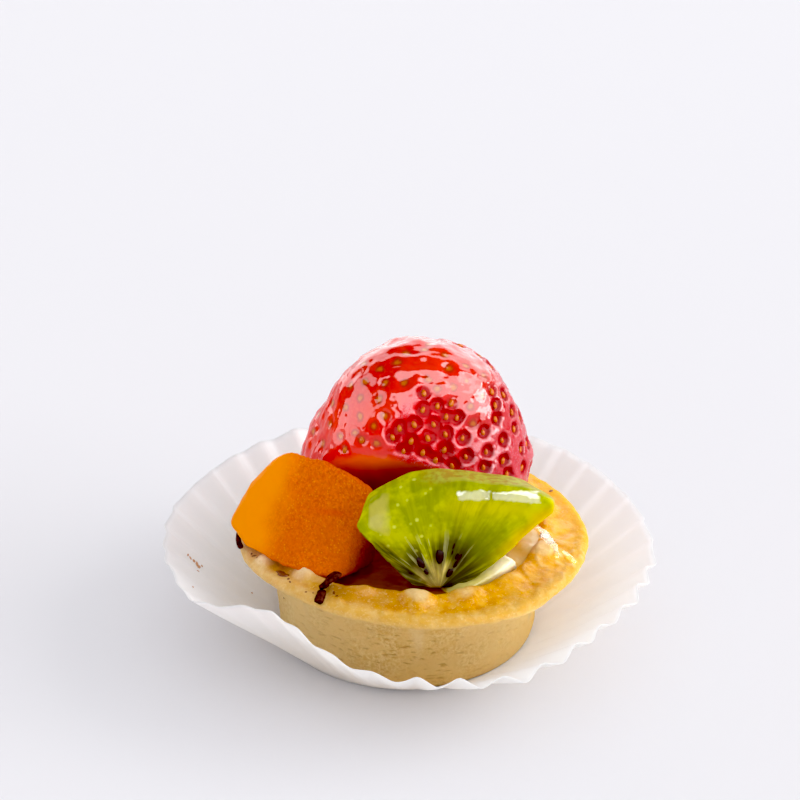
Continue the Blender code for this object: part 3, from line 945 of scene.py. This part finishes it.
def wrap(name, corners):
    """A hull round some corners, as an object."""
    item = join_shapes(name, [(corners, [])])
    deselect()
    item.select_set(True)
    bpy.context.view_layer.objects.active = item
    edit_all()
    bpy.ops.mesh.convex_hull()
    bpy.ops.mesh.dissolve_limited(angle_limit=math.radians(6))
    leave_edit()
    return item


peach = wrap("Peach_Chunk", PEACH_CORNERS)
apply_modifier(peach, "BEVEL", width=1.2 * MM, segments=3, limit_method="ANGLE", angle_limit=0.3)
apply_modifier(peach, "REMESH", mode="VOXEL", voxel_size=0.23 * MM)
apply_modifier(peach, "SMOOTH", factor=0.5, iterations=30)
points = read_points(peach)
x, y, z = points.T
facing = read_normals(peach)
boundary = -21.6 + 0.36 * (z - 18) + 1.3 * bumps(points, 3, 65)
smooth_side = fall(x - boundary, -2.4, 2.4)
long = (1, 1, 1.6)
pulp = layered(points, (0.14, 0.42, 61, (1, 1, 1.8)), (0.13, 1.3, 64, long), (0.18, 3.4, 62, long))
crease = hill((z - 24.6) + 0.12 * (x + 11), 0.35) * hill(x + 11.5, 2.4)
push = (1 - 0.9 * smooth_side) * pulp + 0.26 * bumps(points, 5.5, 63)
push += layered(points, (0.05, 1, 66), (0.14, 2.2, 67))
push -= 0.28 * crease * rise(-facing[:, 1], 0.2, 0.6)
points += facing * push[:, None]
write_points(peach, points)
# towards the kiwi the flesh is painted darker: painted shade, deepest next to the kiwi
towards_kiwi = x - 0.75 * (z - 19)
write_values(
    peach,
    smooth_side=smooth_side,
    crease=crease,
    shaded=rise(towards_kiwi, -12.5, -6),
    stained=rise(towards_kiwi, -10, -5),
)
print("peach points:", len(points))

# %% Peach finish
look = Look(
    "Peach_Flesh", Roughness=0.45, Coat_Weight=0.06, Coat_Roughness=0.16, Coat_IOR=1.33,
    Subsurface_Weight=0.15, Subsurface_Radius=(1, 0.35, 0.02), Subsurface_Scale=2 * MM,
)
where = look.place()
fibres = look.noise(look.place(stretch=(1, 1, 1.6)), 0.42, 4, 0.65)
dotted = look.step(look.cells(look.place(stretch=(1, 1, 1.3)), 0.46), 0.12, 0.4, 1, 0)
specks = look.times(dotted, look.step(look.noise(where, 1.5, 3), 0.35, 0.65, 0.25, 1))
base = look.paint(
    look.blend(look.step(fibres, 0.3, 0.7), (0.59, 0.09, 0.0003), (0.8, 0.18, 0.0006)),
    (0.5, look.patches(where, 4, 2, 0.35, 0.65), (0.76, 0.15, 0.0003)),
    (0.55, specks, (0.96, 0.36, 0.016)),
    (1, "smooth_side", (0.9, 0.275, 0.0004)),
    # the crease is painted darker: painted shade in the groove
    (0.6, "crease", (0.7, 0.085, 0.0004)),
    # painted shade towards the kiwi, deeper still right next to it
    (0.9, "shaded", (0.44, 0.058, 0.0004)),
    (0.85, "stained", (0.17, 0.01, 0.0006)),
)
flesh = look.math("ADD", fibres, look.times(dotted, 0.25))
rough = look.bump(flesh, 0.32, look.step("smooth_side", 0, 1, 0.9, 0.05))
look.set(Base_Color=base, Normal=rough)
finish_piece(peach, look, "peach", "peach_chunk")

# %% [markdown]
# ## The kiwi wedge
# A sector of a round slice stands on its core and leans back. It could be bisected out of a whole
# fruit, but one outline is simpler: it comes from the slice's radius and is wrapped at both
# faces, bevelled and remeshed. Edges that the knife left round are pressed back. The finish is
# drawn in the slice's own plane, in rays from the core.

# %% Cut the kiwi
KIWI_APEX = (4, -16, 16.2)
KIWI_THICK = 6.5
KIWI_LEAN = math.radians(-8)
KIWI_ARC = (36, 139)
ARC_STEPS = 24


def kiwi_reach(degrees):
    """How far the flesh reaches from the core, to the skin, at an angle of the slice."""
    towards_right = np.clip(1 - (degrees - KIWI_ARC[0]) / 46, 0, None)
    end = np.clip((42 - degrees) / 5, 0, 1)
    return 16.5 + 6.6 * towards_right**1.6 - 1.5 * end**2 + 0.5 * hill(degrees - 88, 24)


outline = [(3.4, 0)]
for step in range(ARC_STEPS + 1):
    degrees = KIWI_ARC[0] + (KIWI_ARC[1] - KIWI_ARC[0]) * step / ARC_STEPS
    reach = float(kiwi_reach(degrees)) - (0.4 if step == 0 else 0)
    around = math.radians(degrees)
    outline.append((reach * math.cos(around), reach * math.sin(around)))
outline += [(-13, 9.4), (-4.6, 0.2)]
kiwi_place = Matrix.Translation(Vector(KIWI_APEX)) @ Matrix.Rotation(KIWI_LEAN, 4, "X")
both_faces = [(across, into, up) for into in (0.3, KIWI_THICK - 0.2) for across, up in outline]
kiwi = wrap("Kiwi_Wedge", [kiwi_place @ Vector(corner) for corner in both_faces])
apply_modifier(kiwi, "BEVEL", width=0.9 * MM, segments=3, limit_method="ANGLE", angle_limit=0.5)
apply_modifier(kiwi, "REMESH", mode="VOXEL", voxel_size=0.2 * MM)
apply_modifier(kiwi, "SMOOTH", factor=0.5, iterations=8)
print("kiwi points:", len(kiwi.data.vertices))

# %% Press back the kiwi's edges
turn = np.array(kiwi_place.to_3x3())


def in_slice(points):
    """Points in the slice's own plane: to the right, into the slice, and up from the core."""
    back = np.array(kiwi_place.inverted())
    return points @ back[:3, :3].T + back[:3, 3]


def shave(planes):
    """Presses back what stands beyond planes given in the slice's own directions."""
    points = read_points(kiwi)
    for through, way, softness, share in planes:
        way = turn @ (np.array(way) / np.linalg.norm(way))
        points, _ = press_back(points, kiwi_place @ Vector(through), way, softness, share)
    write_points(kiwi, points)


leftness = fall(in_slice(read_points(kiwi))[:, 0], -3, 6)
ROUNDED = (  # a point of the plane, the way it faces, softness, and where it presses
    ((-12.6, 0, 10.6), (-0.65, 0.49, -0.58), 0.2, 1),
    ((0, 0, 13.6), (-0.22, -0.85, 0.48), 0.4, leftness),
    ((0, 1.6, 16), (-0.25, -0.53, 0.82), 0.4, leftness),
    ((9, 0, 16.2), (0.08, -0.71, 0.71), 0.15, 1 - leftness),
)
SHARP = (
    ((17.4, 0, 13.8), (0.55, 0.3, 0.78), 0.5, 1),
    ((16.5, 0, 11.5), (0.98, -0.1, 0.05), 0.3, 1),
    ((-11.7, 0, 10.2), (-0.88, 0, 0.47), 0.15, 1),
    ((-10.3, 0.7, 11.4), (-0.6, -0.66, 0.45), 0.12, 1),
    ((-7.5, 0, 5.3), (-0.6, -0.62, -0.5), 0.12, 1),
)
shave(ROUNDED)
apply_modifier(kiwi, "SMOOTH", factor=0.5, iterations=8)
shave(SHARP)
print("planes that shave the kiwi:", len(ROUNDED + SHARP))

# %% Find the kiwi's seeds, and bulge and groove the flesh
KIWI_SEEDS = (  # across, down, length
    (420, 563, 1.2), (439.5, 557, 1.3), (452.5, 545, 1.15), (459.5, 555, 1.35), (457, 563, 1.1),
    (450, 573, 1), (410, 573, 0.9), (426, 572, 0.7), (453, 551, 0.8),
)
kiwi_tree = surface_of(kiwi)
kiwi_seed_spots = [(*spot(kiwi_tree, across, down), long) for across, down, long in KIWI_SEEDS]
kiwi_seed_spots = [found for found in kiwi_seed_spots if found[0] is not None]
points = read_points(kiwi)
facing = read_normals(kiwi)
flat = in_slice(points)
right, into, up = flat.T
from_core = np.hypot(right, up)
ray = np.arctan2(up, right)
front = rise(-facing[:, 1], 0.5, 0.85)
rays = np.stack([ray * 14, from_core * 0.18, into * 0.2], axis=1)
near_core = rise(from_core, 1, 3) * fall(from_core, 7, 13)
push = front * (0.26 * near_core * bumps(rays, 1, 71) + 0.45 * hill(from_core - 10.5, 5))
push += layered(points, (0.2, 3.2, 72), (0.06, 1.2, 73))
points += facing * push[:, None]
points, _ = press_back(points, (0, 0, FRUIT_FOOT), (0, 0, -1), 0.1)
write_points(kiwi, points)
print("kiwi bulge", round(float(push.max()), 2), "mm")

# %% Where the kiwi is peeled, cut, glazed, dark, or painted with light and shade
edge = from_core - kiwi_reach(np.degrees(ray))
facing = facing @ turn
to_dark = np.full(len(points), 9.0)
for place, _, _ in kiwi_seed_spots:
    centre = in_slice(np.array([place / MM]))[0]
    rayward = np.array((centre[0], 0, centre[2])) / max(np.hypot(centre[0], centre[2]), 0.1)
    drawn = ((flat - centre) @ rayward)[:, None] * rayward
    to_dark = np.minimum(to_dark, np.linalg.norm(flat - centre - drawn * 0.62, axis=1))
across, down = seen_at(points)
tip_dark = hill(np.hypot(across - 448, 0.8 * (down - 584)) / 6.6, 0.9)
near_seed = np.maximum(hill(to_dark + 0.2 * bumps(points, 0.6, 78), 0.9), tip_dark) * front
jagged = layered(points, (1.3, 0.5, 74), (1, 1.4, 75))
lower = 500 + 4 * rise(across, 495, 541) + jagged
upper = 491 + 1.6 * rise(across, 480, 500) * fall(across, 500, 520) + jagged
gleam = rise(down, upper - 0.8, upper + 0.8) * fall(down, lower - 0.8, lower + 0.8)
gleam *= rise(across + 1.5 * jagged, 457.5, 459.5) * fall(across + 2.5 * jagged, 538.5, 541)
gleam *= rise(np.abs(across + jagged - 491.7), 1, 2.4)
ragged = layered(points, (2.5, 0.9, 80), (3.5, 1.8, 82))
sheen = rise(across, 367, 371) * fall(across + ragged, 381, 393)
sheen *= rise(down + 0.6 * (across - 380) + ragged, 494, 499)
sheen *= fall(down - 0.5 * (across - 380), 529, 536)
inward = 0.72 * (across - 358) - 0.694 * (down - 528) + 2 * bumps(points, 0.8, 76)
write_values(
    kiwi,
    peeled=rise(edge, -1.6, -0.5) * rise(into, 0.8, 2.2) * rise(right, -5, 1),
    # the lower-left cut side, painted dark as shade
    left_cut=rise(facing @ np.array((-0.6, -0.62, -0.5)), 0.8, 0.95),
    thin_end=rise(right, 6, 13) * fall(ray + 0.03 * bumps(points, 2, 79), 0.62, 0.76),
    bright=hill(edge + 3.6, 1.9) * rise(right, -1, 4) * front,
    deep_green=hill(right - 4.5, 4.5) * hill(up - 7, 4),
    near_seed=near_seed,
    gleam=gleam * rise(-facing[:, 1], -0.2, 0.3),
    # painted sheen on the left facet
    facet=sheen,
    glazed=np.maximum(gleam, 0.07 * sheen),
    # painted shade along the lower-left edge
    dark_strip=fall(inward, 7.5, 12) * rise(down, 538, 546) * (right < 2),
)
print("kiwi seeds that show:", len(kiwi_seed_spots))

# %% Kiwi finish, in rays from the core
look = Look(
    "Kiwi_Flesh", Roughness=0.35, Coat_Weight="glazed", Coat_Roughness=0.03, Coat_IOR=1.8,
    Subsurface_Weight=0.35, Subsurface_Radius=(0.8, 1, 0.03), Subsurface_Scale=1.6 * MM,
)
where = look.place()
slice_place = look.place(origin=KIWI_APEX, turn=(-KIWI_LEAN, 0, 0))
sideways, _, upward = look.node("SeparateXYZ", {0: slice_place}).outputs
ray_angle = look.math("ARCTAN2", upward, sideways)
plane = look.node("CombineXYZ", {0: sideways, 2: upward}).outputs[0]
core_way = look.node("VectorMath", {0: plane}, operation="LENGTH").outputs["Value"]


def along_rays(fine, drawn_out, detail):
    """Noise that runs in rays from the core."""
    inputs = {0: look.times(ray_angle, fine), 1: look.times(core_way, drawn_out)}
    return look.noise(look.node("CombineXYZ", inputs).outputs[0], 1, detail, 0.6)


streaks = along_rays(15, 0.16, 3)
dark_rays = look.step(along_rays(8, 0.05, 2), 0.36, 0.52)
fine_rays = look.step(along_rays(13, 0.14, 3), 0.4, 0.68)
pale_rays = look.step(along_rays(8.5, 0.1, 2), 0.52, 0.6)
outer = look.times(look.step(core_way, 5, 9), look.step(sideways, -1, 4))
inner = look.times(look.step(ray_angle, 0.85, 1.1), look.step(core_way, 3, 11, 0.95, 0))
# painted shade low at the right, towards the core
low_right = look.step(ray_angle, 0.7, 1.15, 1, 0)
low_right = look.times(low_right, look.step(core_way, 3, 10, 0.75, 0))
core_share = look.times(look.step(core_way, 2.8, 6, 0.9, 0), look.step(ray_angle, 0.75, 1.25))
core = look.blend(look.times(dark_rays, 0.4), (0.96, 0.78, 0.21), (0.22, 0.14, 0.02))
dots = look.step(look.cells(where, 1.7), 0.06, 0.26, 1, 0)
skin = look.blend(look.patches(where, 1, 3, 0.38, 0.62), (0.42, 0.42, 0.055), (0.37, 0.25, 0.03))
# dark with pale streaks: painted shade on the cut side
cut_side = look.blend(look.step(streaks, 0.4, 0.6), (0.03, 0.022, 0.006), (0.22, 0.19, 0.02))
print("nodes for the rays:", len(look.nodes))

# %% Lay the kiwi's colours
base = look.paint(
    look.blend(look.step(streaks, 0.3, 0.7), (0.27, 0.305, 0.0005), (0.38, 0.395, 0.0015)),
    (0.75, look.patches(where, 2.6, 3, 0.42, 0.66, 0.6), (0.56, 0.57, 0.002)),
    (0.75, "deep_green", (0.16, 0.19, 0.004)),
    (0.75, "bright", (0.6, 0.54, 0.004)),
    (0.5, look.times(fine_rays, outer), (0.2, 0.205, 0.004)),
    (1, look.times(dark_rays, look.step(core_way, 5, 10.5, 0.92, 0)), (0.06, 0.048, 0.01)),
    (1, look.times(pale_rays, inner), (0.84, 0.84, 0.36)),
    # painted shade low at the right
    (1, low_right, (0.07, 0.055, 0.01)),
    (1, core_share, core),
    (1, look.times(dots, look.step(sideways, -4, 2, 0.55, 0)), (0.8, 0.82, 0.14)),
    (0.7, "thin_end", (0.74, 0.45, 0.01)),
    # painted sheen: the left facet is paler
    (0.65, "facet", (0.62, 0.53, 0.12)),
    (1, "peeled", skin),
    # painted shade on the lower-left cut side and its edge
    (0.85, look.math("MAXIMUM", "left_cut", "dark_strip"), cut_side),
    # painted highlight: the gleaming band is also paler in the base colour
    (0.45, "gleam", (0.88, 0.88, 0.62)),
    (0.8, "near_seed", (0.045, 0.03, 0.012)),
)
look.set(Base_Color=base, Normal=look.bump(streaks, 0.1, 0.6))
look.set(Coat_Normal=look.bump(look.noise(where, 0.9, 2), 0.08, 0.7))
finish_piece(kiwi, look, "kiwi", "kiwi_wedge")

# %% [markdown]
# Kiwi seeds are dark drops half sunk in the flesh. They could be painted on, but they stand out a
# little and shine, so they are real shapes. The nine that show are placed through the camera, and
# each is turned towards the core.

# %% Kiwi seeds
shapes = []
for place, away, long in kiwi_seed_spots:
    towards_core = (Vector(KIWI_APEX) * MM - place).normalized()
    side = away.cross(towards_core).normalized()
    turn = Matrix((side, away, side.cross(away))).transposed()
    worn = 1 + 0.12 * bumps(one + long, 0.5, 77)
    drop = one * np.array((1.35, 0.9, 1.75)) * long * worn[:, None]
    corners = [turn @ Vector(corner) + place / MM - away * 0.06 for corner in drop]
    shapes.append((corners, ball_faces))
kiwi_seeds = join_shapes("Kiwi_Seeds", shapes)
look = two_tone(
    "Kiwi_Seed_Black", 0.4, (0.012, 0.005, 0.006), (0.05, 0.022, 0.018),
    Roughness=0.5, Coat_Weight=0.05, Coat_Roughness=0.2,
)
finish_piece(kiwi_seeds, look, "kiwi")

# %% [markdown]
# ## Chocolate, crumbs and glaze
# A bent chocolate stick lies over the brim, a flake is stuck under the peach's corner, and crumbs
# and specks lie about. The stick could be a curve with a round bevel, but it is flat and its ends
# are worn, so rings of points are joined along a path. Crumbs are rough little balls. Each is
# placed through the camera onto what carries it.

# %% Sticks along a path
STICK_SIDES = 14
shell_tree = surface_of(shell)
paper_tree = surface_of(paper)


def stick(path, wide, tall, seed):
    """A rod of an oval section along a path of points in millimetres, with worn ends."""
    count = len(path)
    shape_points, shape_faces = [], []
    for index, place in enumerate(path):
        ahead = (path[min(index + 1, count - 1)] - path[max(index - 1, 0)]).normalized()
        side = ahead.cross(Vector((0, 0, 1))).normalized()
        up = side.cross(ahead)
        size = 0.7 if index in (0, count - 1) else 1
        size *= 0.85 + 0.15 * index / (count - 1)
        size *= 1 + 0.08 * noise.noise(place * 0.9 + Vector((seed, 0, 0)))
        for turn in range(STICK_SIDES):
            around = math.tau * turn / STICK_SIDES
            rough = 1 + 0.06 * noise.noise(Vector((index * 0.6, turn * 1.1, seed)))
            level, steep = (
                math.copysign(abs(part) ** 0.6, part)
                for part in (math.cos(around), math.sin(around))
            )
            shape_points.append(place + (side * level * wide + up * steep * tall) * size * rough)
    for low in range(0, (count - 1) * STICK_SIDES, STICK_SIDES):
        for turn in range(STICK_SIDES):
            first, second = low + turn, low + (turn + 1) % STICK_SIDES
            shape_faces.append((first, first + STICK_SIDES, second + STICK_SIDES, second))
    shape_faces.append(tuple(range(STICK_SIDES)))
    shape_faces.append(tuple(range(count * STICK_SIDES - 1, (count - 1) * STICK_SIDES - 1, -1)))
    return shape_points, shape_faces


def bent(start, middle, end, steps=12):
    """Points along a curve through three."""
    pull = middle * 2 - (start + end) * 0.5
    shares = [step / (steps - 1) for step in range(steps)]
    return [start * (1 - t) ** 2 + pull * 2 * t * (1 - t) + end * t * t for t in shares]


def at_height(across, down, high):
    """The point at a height in millimetres that a point of the picture shows."""
    way = line_of_sight(across, down)
    return (CAMERA_PLACE + way * ((high * MM - CAMERA_PLACE.z) / way.z)) / MM


def on_brim(across, down, above=0.4):
    place, away = spot(shell_tree, across, down)
    return place / MM + away * above


print("brim at the stick's foot:", [round(value, 1) for value in on_brim(321, 598.5)], "mm")

# %% Lay the stick and the flake
upper_part = bent(at_height(339, 573.5, 19.4), at_height(329.5, 579.5, 19.2), on_brim(323.5, 589))
lower_part = bent(on_brim(322.5, 593.2), on_brim(321, 598.5), on_brim(318.5, 603.5), 8)
flake = bent(at_height(240.5, 529, 18.6), at_height(238.3, 539, 17.9), at_height(241.5, 548, 17.1))
shapes = [
    stick(upper_part, 0.84, 0.42, 1),
    stick(lower_part, 0.74, 0.42, 2),
    stick(flake, 0.42, 0.35, 3),
]
chocolate = join_shapes("Chocolate_Stick", shapes)
look = Look("Dark_Chocolate", Roughness=0.65)
where = look.place()
brown = look.blend(
    look.patches(where, 0.5, 3, 0.4, 0.7), (0.036, 0.006, 0.005), (0.11, 0.026, 0.018)
)
look.set(Base_Color=brown, Normal=look.bump(look.noise(where, 0.35, 3), 0.08, 0.6))
finish_piece(chocolate, look, "custard")

# %% Crumbs, smears and specks
BRIM_CRUMBS = (  # across, down, size in millimetres, flatness
    (281.5, 574, 0.75, 0.3), (285, 575.5, 0.62, 0.3), (278.5, 572, 0.42, 0.3),
    (288.5, 579, 0.25, 0.5),
    (290, 582, 0.2, 0.5), (254, 556, 0.28, 0.5), (251.5, 554, 0.18, 0.5), (257, 557.5, 0.16, 0.6),
    (306, 592, 0.17, 0.6), (313, 593, 0.13, 0.6), (334, 593, 0.3, 0.3), (337, 596, 0.24, 0.3),
    (551, 491, 0.24, 0.6), (532, 472, 0.2, 0.6), (284, 598, 0.14, 0.6),
)
PAPER_CRUMBS = (
    (188, 555, 0.22, 0.3), (190.5, 558, 0.2, 0.3), (194, 561, 0.3, 0.3), (197, 564, 0.42, 0.25),
    (199, 567, 0.34, 0.3), (202, 566, 0.2, 0.3), (198, 571, 0.24, 0.3), (193, 587, 0.16, 0.5),
    (252, 593, 0.16, 0.5),
)
crumb, ball_faces = small_ball()
random.seed(19)


def scattered(name, tree, crumbs):
    """Rough little balls, each turned at random where the picture shows it on a piece."""
    shapes = []
    for across, down, size, flat_share in crumbs:
        place, away = spot(tree, across, down)
        if place is None:
            continue
        tangent = away.orthogonal().normalized()
        tangent = Matrix.Rotation(random.uniform(0, math.tau), 3, away) @ tangent
        turn = Matrix((tangent, away.cross(tangent), away)).transposed()
        rough = crumb * (1 + 0.45 * bumps(crumb + 7 * random.random(), 0.7, 81))[:, None]
        rough *= np.array((random.uniform(1, 1.5), random.uniform(0.6, 0.95), flat_share))
        shapes.append(([turn @ Vector(corner * size) + place / MM for corner in rough], ball_faces))
    return join_shapes(name, shapes)


specks = scattered("Chocolate_Crumbs", shell_tree, BRIM_CRUMBS)
smear = scattered("Paper_Crumbs", paper_tree, PAPER_CRUMBS)
look = two_tone(
    "Chocolate_Brown", 0.4, (0.14, 0.03, 0.008), (0.34, 0.11, 0.02),
    Roughness=0.5, Coat_Weight=0.4, Coat_Roughness=0.15,
)
finish_piece(specks, look, "custard")
look = two_tone("Crumb_Tan", 0.4, (0.48, 0.22, 0.09), (0.78, 0.5, 0.32), Roughness=0.6)
finish_piece(smear, look, "pastry")

# %% [markdown]
# Where the glaze ran over the mouth at the right it has set in pale wrinkled strands. They could
# be a bump in the glaze, but they stand off the brim, so they are low drops, drawn out and laid
# on it.

# %% Set glaze on the brim
STRANDS = (  # across and down of three points, half width, half height
    ((536, 528), (544, 534), (551, 545), 0.75, 0.22),
    ((543, 534), (550, 544), (558, 551), 0.95, 0.28),
    ((562, 552), (569, 557), (575, 564), 0.42, 0.25),
    ((553, 546), (556, 552), (557, 559), 0.35, 0.2),
)
carriers = [shell_tree, surface_of(custard)]


def on_top_of(across, down):
    """The nearest place to the camera among the pastry and the custard."""
    found = [spot(tree, across, down)[0] for tree in carriers]
    found = [place for place in found if place is not None]
    return min(found, key=lambda place: (place - CAMERA_PLACE).length) / MM


shapes = []
for index, (first, second, third, wide, tall) in enumerate(STRANDS):
    path = bent(on_top_of(*first), on_top_of(*second), on_top_of(*third), 14)
    shapes.append(stick([place + Vector((0, 0, 0.05)) for place in path], wide, tall, 10 + index))
strands = join_shapes("Set_Glaze", shapes)
apply_modifier(strands, "SUBSURF", levels=1, render_levels=1)
points = read_points(strands)
points += read_normals(strands) * (0.12 * bumps(points, 0.7, 91))[:, None]
write_points(strands, points)
look = two_tone(
    "Clear_Glaze", 0.9, (1, 0.9, 0.66), (1, 0.95, 0.84), 3,
    Roughness=0.12, IOR=1.36, Transmission_Weight=0.85, Coat_Weight=0.6, Coat_Roughness=0.03,
)
look.set(Coat_Normal=look.bump(look.noise(look.place(), 0.5, 2), 0.1, 0.8))
finish_piece(strands, look, "custard")

# %% [markdown]
# ## The light
# A studio could be built round the tart, but only its light matters, and what the glaze mirrors
# of it. Light comes evenly from all round, and two soft boxes at the right throw a soft shadow to
# the left. The glaze in the photograph mirrors windows in front, at the left and at the right,
# and a pale wall behind, with dark between. So it doesn't mirror the even light, but four soft
# boxes of its own.

# %% Floor and even light
MIRRORED, EVEN_LIGHT = 0.08, 0.98  # how bright the even light is in the glaze, and elsewhere

deselect()
bpy.ops.mesh.primitive_plane_add(size=1.6)
floor = named("White_Floor")
floor.location = (0, 0.25, 0)
look = Look("Floor_White", Base_Color=(0.775, 0.768, 0.787), Roughness=0.7)
floor.data.materials.append(look.material)

world = bpy.data.worlds.new("Soft_Studio")
world.use_nodes = True
studio = world.node_tree
backdrop = studio.nodes["Background"]
backdrop.inputs[0].default_value = (0.975, 0.97, 1, 1)
ray_kind = studio.nodes.new("ShaderNodeLightPath")
dimmer = studio.nodes.new("ShaderNodeMath")
dimmer.operation = "MULTIPLY_ADD"
dimmer.inputs[1].default_value = MIRRORED - EVEN_LIGHT
dimmer.inputs[2].default_value = EVEN_LIGHT
studio.links.new(ray_kind.outputs["Is Glossy Ray"], dimmer.inputs[0])
studio.links.new(dimmer.outputs[0], backdrop.inputs[1])
bpy.context.scene.world = world
print("floor", floor.dimensions.x, "m wide")


# %% Soft boxes
def soft_box(
    name, azimuth, elevation, half_wide, half_tall, brightness, lights=False, distance=0.6
):
    """A square light that faces the tart; brightness is what a mirror would show of it."""
    around, up = math.radians(azimuth), math.radians(elevation)
    way = Vector((math.cos(up) * math.cos(around), math.cos(up) * math.sin(around), math.sin(up)))
    data = bpy.data.lights.new(name, "AREA")
    data.shape = "RECTANGLE"
    data.size = 2 * distance * math.tan(math.radians(half_wide))
    data.size_y = 2 * distance * math.tan(math.radians(half_tall))
    data.energy = brightness * math.pi * data.size * data.size_y
    data.color = (1, 1, 1) if lights else (0.93, 0.97, 1)
    item = bpy.data.objects.new(name, data)
    item.location = way * distance + Vector((0, 0, 0.03))
    item.rotation_euler = (-way).to_track_quat("-Z", "Y").to_euler()
    item.visible_diffuse = lights
    item.visible_camera = False
    bpy.context.scene.collection.objects.link(item)
    print(name, "is", round(data.size, 2), "by", round(data.size_y, 2), "m")


soft_box("Key_Right", 8, 27, 20, 16, 2.4, lights=True, distance=6)
soft_box("Side_Light", -14, 8, 16, 8, 9.4, lights=True, distance=6)
soft_box("Front_Window", -60, 36, 57, 32, 7.1)
soft_box("Left_Window", -168, 13, 20, 20, 4.4)
soft_box("Right_Window", -28, 46, 14, 12, 3.5)
soft_box("Back_Wall", 90, 28, 66, 29, 3.8)

# %% Grading
grading = bpy.context.scene.view_settings
grading.view_transform = "Standard"
grading.use_curve_mapping = True
grading.curve_mapping.black_level = (0.02, 0.02, 0.02)
grading.curve_mapping.update()
print("view:", grading.view_transform)
